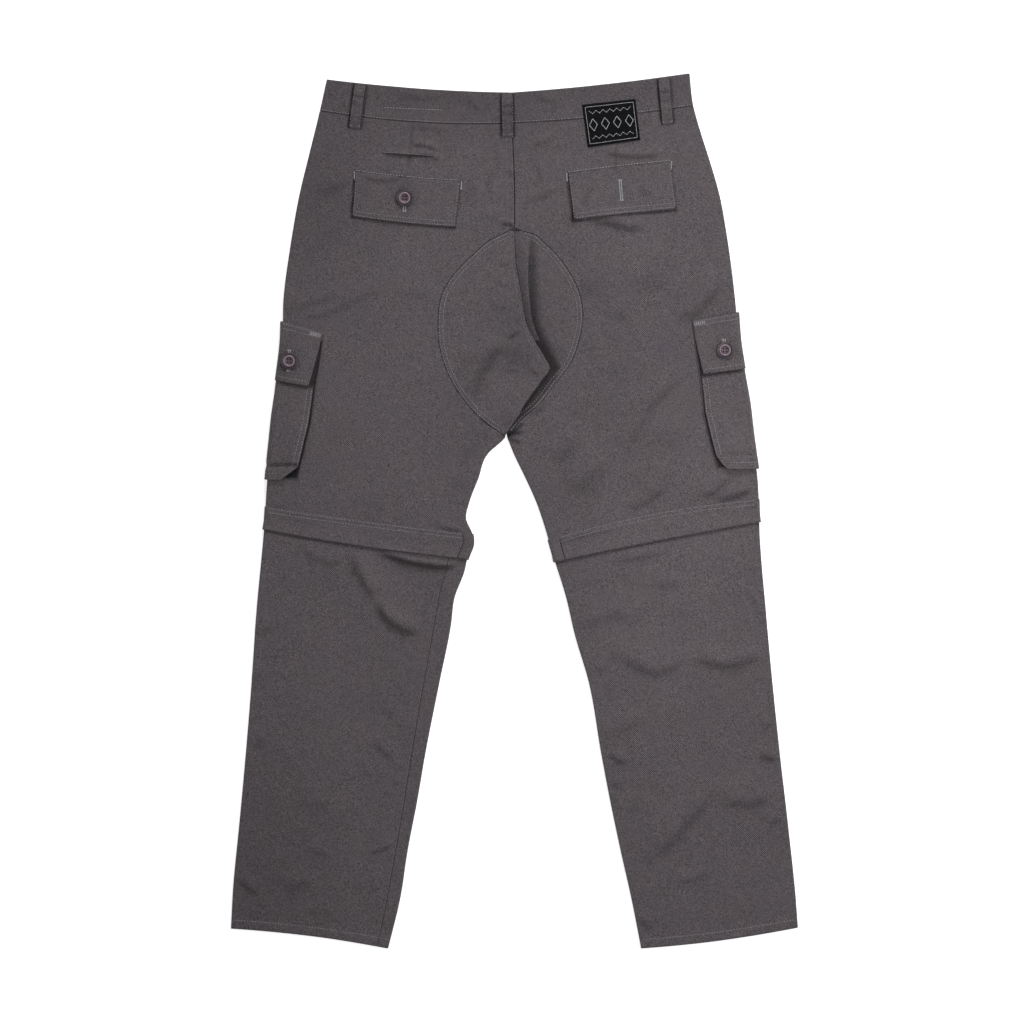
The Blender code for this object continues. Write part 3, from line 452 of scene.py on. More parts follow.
def cross_y(name, side, x, y):
    """Y of a cross seam straight above or below each point."""
    outer, inner, bow = CROSS[name][side]
    start = smooth_x(OUTER[side], y)
    u = np.clip((x - start) / (inner_edge(side, y) - start), 0, 1)
    return outer + (inner - outer) * u + 4 * bow * u * (1 - u)


def half_of(side, x, y):
    """True where a point lies in this half of the garment."""
    return np.sign(x - smooth_x(CENTRE_FRONT, np.maximum(y, CROTCH))) == side


def lift(x, y, layer):
    """How far the sewn-on layers beneath raise the leg. The layer "over" falls away more gently."""
    total = np.zeros_like(x)
    ramp = LIFT_RAMP[layer]
    for side in SIDES:
        here = half_of(side, x, y)
        above = cross_y("band_top", side, x, y) - y
        below = y - cross_y("band_bottom", side, x, y)
        beyond = np.maximum(0, np.maximum(-above, -below))
        band = (BAND_OFF + CLOTH) * smooth_step(1 - beyond / ramp)
        total = np.where(here, np.maximum(total, band), total)
        reach = np.abs(x - smooth_x(OUTER[side], y))
        past = np.maximum(0, reach - CARGO[side]["flap_front"] - PLATEAU_ACROSS)
        high = flap_line(side, "flap_top")(-reach) + PLATEAU_ABOVE
        low = CARGO[side]["bottom"] - PLATEAU_BELOW
        off = np.hypot(past, np.maximum(0, np.maximum(y - high, low - y)))
        cargo = (CARGO_FLAP_OFF + FLAP_CLOTH) * smooth_step(1 - off / ramp)
        total = np.where(here, np.maximum(total, cargo), total)
    return total


def flap_line(side, name):
    """Height of a cargo flap's top or bottom at a distance round the leg."""
    start, slope = CARGO[side][name]

    def height(s):
        return start + slope * s

    return height


def pocket_top(side):
    """Height of a cargo pocket's top edge at a distance round the leg."""
    line = flap_line(side, "flap_top")

    def height(s):
        return line(s) - POCKET_TOP_DROP

    return height


def pocket_bulge(side, s, y):
    """How much further the pocket's face stands off the leg below its flap."""
    below = flap_line(side, "flap_bottom")(s) - BULGE_START - y
    return POCKET_BULGE * smooth_step(below / BULGE_RUN)


def folds(x, y):
    """Height that the creases add to the upper layer. Each is steep below its crest, gentle above."""
    total = np.zeros_like(x)
    for points, width, height, _ in CREASES:
        away, share = off_line(x, y, np.array(points, float), width * (1 + CREST_REACH))
        past = away - width / 2
        fall = np.where(past > 0, past / (width * CREST_REACH), -past / width)
        total += CREASE_RISE * height * smooth_step(1 - fall) * ends(share)
    return total


def ends(share):
    """1 along the middle of a line, 0 at its ends."""
    return smooth_step(share / 0.3) * smooth_step((1 - share) / 0.3)


def loop_painted_shadows():
    """Painted shadows along both long edges of each belt loop, and painted shade in its wrinkles."""
    lines = []
    for upper, lower in BELT_LOOPS.values():
        upper, lower = np.array(upper, float), np.array(lower, float)
        run = (lower - upper) / np.linalg.norm(lower - upper)
        across = np.array([run[1], -run[0]]) * (LOOP_WIDTH / 2 + 0.4)
        lines += [((upper + way, lower + way), 2.0, 0.85) for way in (across, -across)]
        for share in LOOP_WRINKLES:
            middle = upper + (lower - upper) * share
            lines.append(((middle - across * 0.8, middle + across * 0.8), 1.8, 0.35))
    return lines


def base_painted_shading(x, y):
    """Painted light and shade: how much lighter or darker the cloth is than its colour."""
    total = np.zeros_like(x)
    for points, width, _, dark in CREASES:
        away, share = off_line(x, y, np.array(points, float), width * 1.4)
        total -= CREASE_PAINTED_SHADE * dark * smooth_step(1 - np.abs(away) / (width * 1.3)) * ends(share)
    for points, width, dark in EDGE_PAINTED_SHADOWS + loop_painted_shadows():
        away, _ = off_line(x, y, np.array(points, float), width + 1)
        total -= dark * smooth_step(1 - np.abs(away) / width)
    for side in SIDES:
        here = half_of(side, x, y)
        for name, step, width, dark in SEAM_PAINTED_SHADOWS:
            below = cross_y(name, side, x, y) - y
            total -= np.where(here, dark * smooth_step(1 - np.abs(below - step) / width), 0)
    for middle_x, middle_y, across, up, amount in LIGHT_AND_SHADE_PATCHES:
        far = ((x - middle_x) / across) ** 2 + ((y - middle_y) / up) ** 2
        total += amount * np.exp(-np.minimum(far, 30))
    return np.maximum(total, DARKEST)


def swells(x, y):
    total = np.zeros_like(x)
    for height, wave, degrees, phase in SWELLS:
        turn = math.radians(degrees)
        total += height * np.sin(2 * math.pi * (x * math.cos(turn) + y * math.sin(turn)) / wave + phase)
    return total


def strip(away, width, height):
    """A sewn-down seam allowance: a low flat strip from 0 to width beside a seam."""
    return height * smooth_step(away / 0.8) * smooth_step((width - away) / 1.6)


def off_line(x, y, line, reach):
    """Distance of points from a line and how far along it they are, from 0 to 1. The distance is
    above 0 to the right of a line that runs down and above one that runs right."""
    away, share = np.full_like(x, 1e3), np.zeros_like(x)
    low, high = line.min(axis=0) - reach, line.max(axis=0) + reach
    near = (x > low[0]) & (x < high[0]) & (y > low[1]) & (y < high[1])
    px, py = x[near], y[near]
    best, signed, where = np.full_like(px, 1e3), np.full_like(px, 1e3), np.zeros_like(px)
    lengths = np.linalg.norm(np.diff(line, axis=0), axis=1)
    before = np.concatenate([[0], np.cumsum(lengths)])
    for start, end, length, passed in zip(line, line[1:], lengths, before):
        run = end - start
        t = np.clip(((px - start[0]) * run[0] + (py - start[1]) * run[1]) / (run @ run), 0, 1)
        gap = np.hypot(px - start[0] - t * run[0], py - start[1] - t * run[1])
        turn = np.where((px - start[0]) * run[1] - (py - start[1]) * run[0] < 0, 1, -1)
        closer = gap < best
        best = np.where(closer, gap, best)
        signed = np.where(closer, gap * turn, signed)
        where = np.where(closer, passed + t * length, where)
    away[near] = signed
    share[near] = where / before[-1]
    return away, share


def sewn_relief(x, y):
    """Low relief of the seam allowances under the cloth, and the ditches of the darts."""
    total = np.zeros_like(x)
    centre, _ = off_line(x, y, along(CENTRE_BACK, 508, PATCH_TOP, 12), 12)
    total += strip(-centre, 8.0, 0.5)
    for side in SIDES:
        here = half_of(side, x, y)
        hem = y - cross_y("hem", side, x, y)
        total += np.where(here, strip(hem + 1.5, 12.0, 0.6), 0)
        away, _ = off_line(x, y, along(PATCH_EDGE[side], PATCH_TOP, CROTCH, 60), 12)
        total += strip(-side * away, 7.0, 0.45)
    for (x0, y0), (x1, y1) in DARTS:
        t = np.clip((y0 - y) / (y0 - y1), 0, 1)
        away = np.hypot(x - x0 - (x1 - x0) * t, y - y0 + (y0 - y1) * t)
        total -= DART_DEPTH * smooth_step(1 - away / DART_REACH)
    return total


def upper_face(x, y):
    """Height of the upper layer's outer face, worked out afresh."""
    rise = np.zeros_like(x)
    for side in SIDES:
        above = (y - cross_y("waist_seam", side, x, y) + WAIST_RISE) / WAIST_RISE
        rise = np.where(half_of(side, x, y), smooth_step(above), rise)
    level = LEG_THICK + (WAIST_THICK - LEG_THICK) * rise + lift(x, y, "over")
    return level + folds(x, y) + swells(x, y) + sewn_relief(x, y)


def lower_face(x, y):
    """Height of the lower layer's outer face, worked out afresh."""
    return lift(x, y, "under")


class Field:
    """Heights on an even grid over the garment, read off between its points."""

    def __init__(self, work_out):
        self.x = np.arange(-FIELD_HALF[0], FIELD_HALF[0] + FIELD_STEP, FIELD_STEP)
        self.y = np.arange(-FIELD_HALF[1], FIELD_HALF[1] + FIELD_STEP, FIELD_STEP)
        across, up = np.meshgrid(self.x, self.y)
        self.height = work_out(across.ravel(), up.ravel()).reshape(across.shape)

    def __call__(self, x, y):
        column = np.clip((x - self.x[0]) / FIELD_STEP, 0, len(self.x) - 1.001)
        row = np.clip((y - self.y[0]) / FIELD_STEP, 0, len(self.y) - 1.001)
        i, j = row.astype(int), column.astype(int)
        down, over = row - i, column - j
        low = self.height[i, j] * (1 - over) + self.height[i, j + 1] * over
        high = self.height[i + 1, j] * (1 - over) + self.height[i + 1, j + 1] * over
        return low * (1 - down) + high * down


top = Field(upper_face)
bottom = Field(lower_face)
# Painted light and shade of the cloth, worked out on the same grid
cloth_painted_shading = Field(base_painted_shading)


def lap(y):
    """1 along the stretch of the seat seam where the left half laps over the right."""
    return smooth_step((LAP_TOP - y) / LAP_TOP_FADE) * smooth_step((y - LAP_FOOT) / LAP_FOOT_FADE)


def seat_left(x, y):
    """Height of the seat's left half, which swells towards its folded edge."""
    away = np.maximum(0, smooth_x(SEAT_SEAM, y) - x)
    return top(x, y) + LAP_HEIGHT * lap(y) * smooth_step(1 - away / LAP_REACH)


def pleat(y):
    """1 along the seat's pleat, 0 above and below it."""
    above = smooth_step((RIDGE_TOP - y) / RIDGE_TOP_FADE)
    return above * smooth_step((y - RIDGE_FOOT) / RIDGE_FOOT_FADE)


def seat_right(x, y):
    """Height of the seat's right half beyond its pleat, hollow under the lap."""
    away = x - smooth_x(SEAT_SEAM, y)
    return top(x, y) - RECESS_DEPTH * lap(y) * (1 - smooth_step((away - RECESS_NEAR) / RECESS_FADE))


def normals_on(height, x, y):
    slope_x = height(x + 0.5, y) - height(x - 0.5, y)
    slope_y = height(x, y + 0.5) - height(x, y - 0.5)
    square = np.stack([-slope_x, -slope_y, np.ones_like(x)], 1)
    return square / np.linalg.norm(square, axis=1)[:, None]


def on_face(plan, face, depth, height=top):
    """Points this deep inside the upper (1) or lower (-1) layer's outer face, above plan points."""
    x, y = plan[:, 0], plan[:, 1]
    if face < 0:
        return np.stack([x, y, bottom(x, y) + depth], 1)
    return np.stack([x, y, height(x, y)], 1) - normals_on(height, x, y) * np.reshape(depth, (-1, 1))


def on_fold(tangent, way, angle, depth):
    """Points round a side fold. The angle is 90 on top of it, 0 at its edge and -90 beneath."""
    x, y = tangent[:, 0], tangent[:, 1]
    high, low = top(x, y), bottom(x, y)
    turn = np.radians(angle) * np.ones(len(x))
    plan = tangent - way * ((FOLD_RADIUS - depth) * np.cos(turn))[:, None]
    z = (high + low) / 2 + ((high - low) / 2 - depth) * np.sin(turn)
    return np.column_stack([plan, z])


class Span:
    """Lines across one half of the garment, each from its outer fold to its inner end.

    An inner end has a fold of its own where rolled is true, and stops at a seam elsewhere. The bow
    bends a line along Y at its middle, and reach is where an inseam crosses it, as a share of it.
    """

    def __init__(self, side, y_outer, inner, inner_way=None, rolled=None, bow=0.0, seam=None):
        self.outer, self.way = edge(OUTER[side], y_outer, -side)
        self.start = self.outer + self.way * FOLD_RADIUS
        self.inner_way = inner_way
        self.end = inner if inner_way is None else inner + inner_way * FOLD_RADIUS
        self.rolled = np.ones(len(inner), bool) if rolled is None else rolled
        self.bow = np.ones(len(inner)) * bow
        self.width = np.abs(self.end[:, 0] - self.start[:, 0])
        self.reach = 1.0 if seam is None else np.abs(seam - self.start[:, 0]) / self.width

    def place(self, zone, value, depth):
        """Points at one place on every line, this deep inside the outer face."""
        if zone in ("top", "bottom"):
            u = (value * np.ones(len(self.bow)))[:, None]
            plan = self.start + (self.end - self.start) * u
            plan[:, 1] += 4 * self.bow * u[:, 0] * (1 - u[:, 0])
            return on_face(plan, 1 if zone == "top" else -1, depth)
        if zone == "outer":
            return on_fold(self.start, self.way, value, depth)
        rolled = on_fold(self.end, self.inner_way, value, depth)
        back_off = FOLD_RADIUS * math.cos(math.radians(value))
        flat = on_face(self.end - self.inner_way * back_off, 1 if value > 0 else -1, depth)
        return np.where(self.rolled[:, None], rolled, flat)

    def grid(self, columns, depth):
        return np.stack([self.place(zone, value, depth) for zone, value in columns], 1)


def wrap(side, s, y, off):
    """Points standing off a leg by off, at the distance s round its outer fold: on top where s > 0."""
    s = np.asarray(s, float)
    y, off = y * np.ones_like(s), off * np.ones_like(s)
    outer, way = edge(OUTER[side], y, -side)
    start = outer + way * FOLD_RADIUS
    angle = np.clip(s / FOLD_ARC, -1, 1) * 90
    round_fold = on_fold(start, way, angle, -off)
    flat = start - np.outer(np.maximum(np.abs(s) - FOLD_ARC, 0), [side, 0])
    level = np.where((s > 0)[:, None], on_face(flat, 1, -off), on_face(flat, -1, -off))
    return np.where((np.abs(s) < FOLD_ARC)[:, None], round_fold, level)


def wrap_distance(plan):
    """The distance round the fold of something this far in from the leg's edge in plan."""
    return plan - FOLD_RADIUS + FOLD_ARC


# Materials

def node(tree, kind, inputs=None, **settings):
    """A shader node with its settings, its socket values and the sockets linked to it."""
    made = tree.nodes.new(kind)
    for name, value in settings.items():
        setattr(made, name, value)
    for name, value in (inputs or {}).items():
        if isinstance(value, bpy.types.NodeSocket):
            tree.links.new(value, made.inputs[name])
        else:
            made.inputs[name].default_value = value
    return made


def new_material(name, roughness, **sockets):
    made = bpy.data.materials.new(name)
    made.use_nodes = True
    shader = made.node_tree.nodes["Principled BSDF"]
    shader.inputs["Roughness"].default_value = roughness
    for socket, value in sockets.items():
        shader.inputs[socket.replace("_", " ")].default_value = value
    return made, made.node_tree, shader


def weigh(tree, total, socket, share, middle=0.5):
    """Adds share times (socket - middle) to a running total."""
    values = {0: socket, 1: share, 2: -share * middle}
    scaled = node(tree, "ShaderNodeMath", values, operation="MULTIPLY_ADD").outputs[0]
    return node(tree, "ShaderNodeMath", {0: total, 1: scaled}, operation="ADD").outputs[0]


def tinted(tree, shader, colour, shade):
    """The base colour scaled by a shade."""
    scaled = node(tree, "ShaderNodeVectorMath", {0: colour, "Scale": shade}, operation="SCALE")
    tree.links.new(scaled.outputs[0], shader.inputs["Base Color"])


def bumped(tree, shader, height, distance, strength=1.0):
    bump = node(tree, "ShaderNodeBump", {"Height": height, "Distance": distance, "Strength": strength})
    tree.links.new(bump.outputs[0], shader.inputs["Normal"])


def noise(tree, place, scale, detail=2.0):
    values = {"Vector": place, "Scale": scale, "Detail": detail}
    return node(tree, "ShaderNodeTexNoise", values).outputs["Fac"]


def cloth_material(name, turn=-45.0, wale=1.7):
    """Cotton twill: slanting wales, yarn grain, slow changes of dye and a soft sheen."""
    sheen = {"Sheen_Weight": 0.12, "Sheen_Roughness": 0.45, "Specular_IOR_Level": 0.25}
    made, tree, shader = new_material(name, 0.88, **sheen)
    place = node(tree, "ShaderNodeTexCoord").outputs["Object"]
    rotation = (0, 0, math.radians(turn))
    slant = node(tree, "ShaderNodeMapping", {"Vector": place, "Rotation": rotation}).outputs[0]
    wave_scale = 2 * math.pi / (20 * wale * MM)
    wales = node(
        tree, "ShaderNodeTexWave",
        {"Vector": slant, "Scale": wave_scale, "Distortion": 0.9, "Detail": 2.0, "Detail Scale": 1.2},
        wave_type="BANDS", bands_direction="X",
    ).outputs["Fac"]
    squeeze = {"Vector": slant, "Scale": (1.0, 0.4, 1.0)}
    streak_place = node(tree, "ShaderNodeMapping", squeeze).outputs[0]
    streaks = noise(tree, streak_place, 620.0)
    grain = noise(tree, place, 1150.0, 1.0)
    coarse_grain = noise(tree, place, 520.0, 1.0)
    mottle = noise(tree, place, 120.0, 3.0)
    dye = noise(tree, place, 12.0, 3.0)
    # Painted light and shade, read from an attribute of the mesh
    painted_shading = node(tree, "ShaderNodeAttribute", attribute_name="painted_shading").outputs["Fac"]
    shade = weigh(tree, 1.0, wales, 0.62)
    shade = weigh(tree, shade, streaks, 0.7)
    shade = weigh(tree, shade, grain, 2.5)
    shade = weigh(tree, shade, coarse_grain, 0.9)
    shade = weigh(tree, shade, mottle, 0.26)
    shade = weigh(tree, shade, dye, 0.14)
    # The painted light and shade scale the cloth's colour
    lit = weigh(tree, 1.0, painted_shading, 1.0, 0.0)
    shade = node(tree, "ShaderNodeMath", {0: shade, 1: lit}, operation="MULTIPLY").outputs[0]
    tint = noise(tree, place, 28.0, 2.0)
    hue = node(tree, "ShaderNodeMix", {"Factor": tint}, data_type="RGBA", clamp_factor=True)
    hue.inputs[6].default_value = (*TWILL_WARM, 1)
    hue.inputs[7].default_value = (*TWILL_COOL, 1)
    tinted(tree, shader, hue.outputs[2], shade)
    height = weigh(tree, 0.5, wales, 0.7)
    height = weigh(tree, height, grain, 0.6)
    bumped(tree, shader, height, 0.0003)
    return made


def thread_material(name, colour=THREAD):
    """Slightly shiny cotton thread with its twist."""
    made, tree, shader = new_material(name, 0.7, Sheen_Weight=0.2)
    place = node(tree, "ShaderNodeTexCoord").outputs["Object"]
    twist = node(
        tree, "ShaderNodeTexWave", {"Vector": place, "Scale": 620.0, "Distortion": 1.0},
        wave_type="BANDS", bands_direction="DIAGONAL",
    ).outputs["Fac"]
    fuzz = noise(tree, place, 300.0)
    shade = weigh(tree, weigh(tree, 1.0, twist, 0.3), fuzz, 0.9)
    tinted(tree, shader, colour, shade)
    bumped(tree, shader, twist, 0.00012)
    return made


def label_material():
    """Black woven label with a fine horizontal rib."""
    made, tree, shader = new_material("black_label_weave", 0.85, Specular_IOR_Level=0.12)
    place = node(tree, "ShaderNodeTexCoord").outputs["Object"]
    rib = node(
        tree, "ShaderNodeTexWave", {"Vector": place, "Scale": 480.0, "Distortion": 0.4},
        wave_type="BANDS", bands_direction="Y",
    ).outputs["Fac"]
    speck = noise(tree, place, 700.0)
    shade = weigh(tree, weigh(tree, 1.0, rib, 0.5), speck, 0.8)
    tinted(tree, shader, LABEL_BLACK, shade)
    bumped(tree, shader, rib, 0.0002)
    return made


def button_material():
    """Purplish brown moulded plastic with cloudy streaks and a soft gloss."""
    made, tree, shader = new_material("moulded_button", 0.42, Coat_Weight=0.12, Coat_Roughness=0.3)
    place = node(tree, "ShaderNodeTexCoord").outputs["Object"]
    cloud = noise(tree, place, 260.0, 4.0)
    fine = noise(tree, place, 1500.0)
    # Painted highlight on the button's raised ring, and a darker flange
    ring_highlight_and_dark_flange = node(tree, "ShaderNodeAttribute", attribute_name="painted_shading").outputs["Fac"]
    shade = weigh(tree, weigh(tree, weigh(tree, 1.0, cloud, 0.7), fine, 0.3), ring_highlight_and_dark_flange, 1.0, 0.0)
    tinted(tree, shader, BUTTON_BROWN, shade)
    bumped(tree, shader, fine, 0.00004)
    return made


def zip_material(name):
    """Dark tape, ribbed across."""
    made, tree, shader = new_material(name, 0.65)
    place = node(tree, "ShaderNodeTexCoord").outputs["Object"]
    rib = node(
        tree, "ShaderNodeTexWave", {"Vector": place, "Scale": 300.0, "Distortion": 0.2},
        wave_type="BANDS", bands_direction="X",
    ).outputs["Fac"]
    tinted(tree, shader, ZIP_DARK, weigh(tree, 1.0, rib, 0.5))
    bumped(tree, shader, rib, 0.0002)
    return made


MATERIALS = {
    "twill": cloth_material("twill"),
    "twill_bias": cloth_material("twill_bias", turn=-38.0),
    "twill_trim": cloth_material("twill_trim", turn=-52.0),
    "thread": thread_material("grey_thread"),
    "faint_thread": thread_material("dull_thread", FAINT_THREAD),
    "bright_thread": thread_material("pale_thread", BRIGHT_THREAD),
    "button_thread": thread_material("dark_thread", BUTTON_THREAD),
    "label": label_material(),
    "label_thread": thread_material("label_thread", LABEL_GREY),
    "button": button_material(),
    "zip": zip_material("zip_tape"),
}


# Meshes

def finish_object(name, points, faces, material, painted_shading=None, turn_out=True):
    """One visible piece from points in millimetres."""
    mesh = bpy.data.meshes.new(name)
    mesh.from_pydata((np.asarray(points) * MM).tolist(), [], faces)
    if turn_out:
        solid = bmesh.new()
        solid.from_mesh(mesh)
        bmesh.ops.recalc_face_normals(solid, faces=solid.faces)
        solid.to_mesh(mesh)
        solid.free()
    mesh.shade_smooth()
    # Painted light and shade go on the mesh as an attribute that its material reads
    if painted_shading is not None:
        shades = mesh.attributes.new("painted_shading", "FLOAT", "POINT")
        shades.data.foreach_set("value", np.asarray(painted_shading, np.float32))
    made = bpy.data.objects.new(name, mesh)
    made.data.materials.append(MATERIALS[material])
    bpy.context.scene.collection.objects.link(made)
    return made


def boundary_loops(rows, columns, closed):
    """Indices round the border of a grid of points."""
    if closed:
        return [np.arange(columns), (rows - 1) * columns + np.arange(columns)]
    top_row = np.arange(columns)
    right = np.arange(1, rows) * columns + columns - 1
    low = (rows - 1) * columns + np.arange(columns - 2, -1, -1)
    left = np.arange(rows - 2, 0, -1) * columns
    return [np.concatenate([top_row, right, low, left])]


def draw_in(grid, amount, closed):
    """The grid with its border moved in by amount."""
    out = grid.copy()

    def pull(here, towards):
        way = towards - here
        return here + way * amount / np.maximum(np.linalg.norm(way, axis=-1, keepdims=True), 1e-6)

    out[0], out[-1] = pull(grid[0], grid[1]), pull(grid[-1], grid[-2])
    if not closed:
        out[:, 0], out[:, -1] = pull(out[:, 0], out[:, 1]), pull(out[:, -1], out[:, -2])
    return out


def cloth_wall(name, outer, inner, material, closed=False, painted_shading=None):
    """A cloth wall between two grids of points, with rounded edges."""
    rows, columns = outer.shape[:2]
    half = rows * columns
    loops = boundary_loops(rows, columns, closed)
    middle = (outer + inner).reshape(-1, 3) / 2
    points = [draw_in(outer, RIM, closed).reshape(-1, 3), draw_in(inner, RIM, closed).reshape(-1, 3)]
    corner = np.arange(half).reshape(rows, columns)
    following = np.roll(corner, -1, 1)
    last = columns if closed else columns - 1
    quads = np.stack([corner[:-1], following[:-1], following[1:], corner[1:]], -1)
    quads = quads[:, :last].reshape(-1, 4)
    faces = quads.tolist() + (quads[:, ::-1] + half).tolist()
    start = 2 * half
    for loop in loops:
        points.append(middle[loop])
        rim = start + np.arange(len(loop))
        start += len(loop)
        ahead, rim_ahead = np.roll(loop, -1), np.roll(rim, -1)
        faces += np.stack([ahead, loop, rim, rim_ahead], 1).tolist()
        faces += np.stack([rim_ahead, rim, loop + half, ahead + half], 1).tolist()
    # Painted light and shade of the cloth here, with the piece's own painted shade added
    flat = cloth_painted_shading(outer[..., 0].ravel(), outer[..., 1].ravel())
    if painted_shading is not None:
        flat = flat + np.asarray(painted_shading).reshape(-1)
    shades = np.concatenate([flat, flat] + [flat[loop] for loop in loops])
    return finish_object(name, np.concatenate(points), faces, material, shades)


def dress(piece, node_name, slot, flat=None, area=None, rests_on=()):
    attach(piece, "root")
    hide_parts(node_name)
    if flat:
        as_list(rests_on)


def flat_columns(zone, width, spacing=FINE):
    """Columns over a flat stretch, between the two folds' tangents."""
    return [(zone, u) for u in np.linspace(0, 1, steps(width, spacing) + 1)[1:-1]]


NOSE_ANGLES = (FOLD_SEAM_ANGLE, 30.0, 50.0, 70.0, 90.0)


def upper_span(side, centre, patch, spacing):
    """Lines across an upper panel. Its inner end runs down a centre seam, round the seat patch
    where it has one, and then down the crotch's fold."""
    seam = CROSS["waist_seam" if patch else "front_seam"][side]
    band = CROSS["band_top"][side]
    middle = PATCH_EDGE[side] if patch else centre
    lines = [
        along(centre, seam[1] - SEAM_GAP / 2, PATCH_TOP + 4, steps(130, spacing)),
        along(middle, PATCH_TOP, CROTCH + 3.5, steps(270, spacing)),
        along(INNER[side], CROTCH - 3, band[1] + BAND_ROW, steps(125, spacing)),
        along(INNER[side], band[1] + BAND_ROW, band[1] + UPPER_END, 4)[1:],
    ]
    heights = [
        np.linspace(seam[0] - SEAM_GAP / 2, PATCH_TOP_OUTER, len(lines[0])),
        np.linspace(PATCH_TOP_OUTER, CROTCH_OUTER, len(lines[1]) + 1)[1:],
        np.linspace(CROTCH_OUTER, band[0] + BAND_ROW, len(lines[2]) + 1)[1:],
        np.linspace(band[0] + BAND_ROW, band[0] + UPPER_END, 4)[1:],
    ]
    inward = [ways(line, side) for line in lines[:3]]
    inward = np.concatenate(inward + [inward[2][-1:]] * 3)
    inner = np.concatenate(lines)
    rolled = np.arange(len(inner)) >= len(inner) - len(lines[2]) - 3
    inner = inner + inward * (SEAM_GAP if patch else FRONT_GAP) / 2
    run = np.linspace(0, 1, len(inner))
    bow = seam[2] * np.clip(1 - 3 * run, 0, 1) + band[2] * np.clip(3 * run - 2, 0, 1)
    return Span(side, np.concatenate(heights), inner, inward, rolled, bow)


# Flat cut of each panel: width, length and area, in metres and square metres
CUT = {
    "back": (0.30, 0.52, 0.118),
    "front": (0.30, 0.52, 0.125),
    "lower_back": (0.22, 0.50, 0.100),
    "lower_front": (0.22, 0.50, 0.100),
    "seat_patch_left": (0.11, 0.26, 0.0190),
    "seat_patch_right": (0.09, 0.26, 0.0118),
    "waistband_back": (0.45, 0.040, 0.017),
    "waistband_front": (0.22, 0.040, 0.0085),
    "zip_band": (0.50, 0.032, 0.0150),
    "zip": (0.50, 0.0127, 0.0060),
    "back_flap": (0.126, 0.056, 0.0070),
    "cargo_flap": (0.172, 0.071, 0.0118),
    "cargo_pocket": (0.160, 0.185, 0.0275),
    "cargo_gusset": (0.013, 0.52, 0.0066),
    "belt_loop": (0.0144, 0.055, 0.00079),
    "label_patch": (0.064, 0.049, 0.0031),
}


def sheet_of(name):
    width, length, area = CUT[name]
    return {"flat": (width, length), "area": area}


def add_upper_panels():
    for side, word in SIDES.items():
        for name, zone, sign, patch in (("back", "top", 1, True), ("front", "bottom", -1, False)):
            spacing = FINE if patch else COARSE
            span = upper_span(side, CENTRE_BACK if patch else CENTRE_FRONT, patch, spacing)
            columns = [("outer", sign * a) for a in NOSE_ANGLES] + flat_columns(zone, 235, spacing)
            columns += [("inner", sign * a) for a in reversed(NOSE_ANGLES)]
            piece = cloth_wall(
                f"{name}_{word}_cloth", span.grid(columns, 0), span.grid(columns, CLOTH), "twill",
            )
            under = (f"front_{word}",) if patch else ()
            dress(piece, f"{name}_{word}", "twill", rests_on=under, **sheet_of(name))


def catmull(controls, t):
    """Points at the places t on a smooth line through control points, for every row at once."""
    count = controls.shape[0]
    before = 2 * controls[:1] - controls[1:2]
    after = 2 * controls[-1:] - controls[-2:-1]
    padded = np.concatenate([before, controls, after])
    k = np.clip(t.astype(int), 0, count - 2)
    f = (t - k)[:, None, None]
    a, b, c, d = (padded[k + i] for i in range(4))
    square = 2 * a - 5 * b + 4 * c - d
    cube = 3 * b - a - 3 * c + d
    return 0.5 * (2 * b + (c - a) * f + square * f ** 2 + cube * f ** 3)


# The seat patch: its length, where its lap turns down and how tightly at each depth of the cloth,
# and the columns and the cloth of its pleated half
SEAT_LENGTH = 270
LAP_ANGLES = (100, 75, 50, 25)
LAP_RADIUS = {0: 1.9, CLOTH: 1.9 - CLOTH * 0.9}
PLEAT_COLUMNS = 32
PLEAT_CLOTH = 0.7 * CLOTH


def seat_outline(side):
    """The seam down the seat, and the outer edge of one half of the seat patch."""
    count = steps(SEAT_LENGTH)
    seam = along(SEAT_SEAM, PATCH_TOP - 1, CROTCH + 2, count)
    outline = along(PATCH_EDGE[side], PATCH_TOP, CROTCH + 1, count)
    return seam, outline - ways(outline, side) * SEAM_GAP / 2


def seat_patch_left():
    """The left half: it swells towards the seam and turns down there over the right half."""
    seam, outline = seat_outline(LEFT)
    fold = seam + ways(seam, LEFT) * SEAM_GAP / 2
    over = lap(seam[:, 1])[:, None]
    out = ways(seam, RIGHT)
    shares = np.linspace(0, 1, 46) ** 1.3
    grids = []
    for depth, radius in LAP_RADIUS.items():
        flat = [on_face(fold + (outline - fold) * u, 1, depth, seat_left) for u in shares]
        folded = []
        for turn in np.radians(LAP_ANGLES):
            reach = np.column_stack([out * (radius * math.sin(turn) + LAP_OVERHANG * 0.5), 0 * over])
            drop = [0, 0, radius * (1 - math.cos(turn))]
            apart = np.column_stack([out, 0 * over]) * (1 - over) * 0.01
            folded.append(flat[0] + (reach - drop) * over + apart)
        grids.append(np.stack(folded + flat, 1))
    return grids


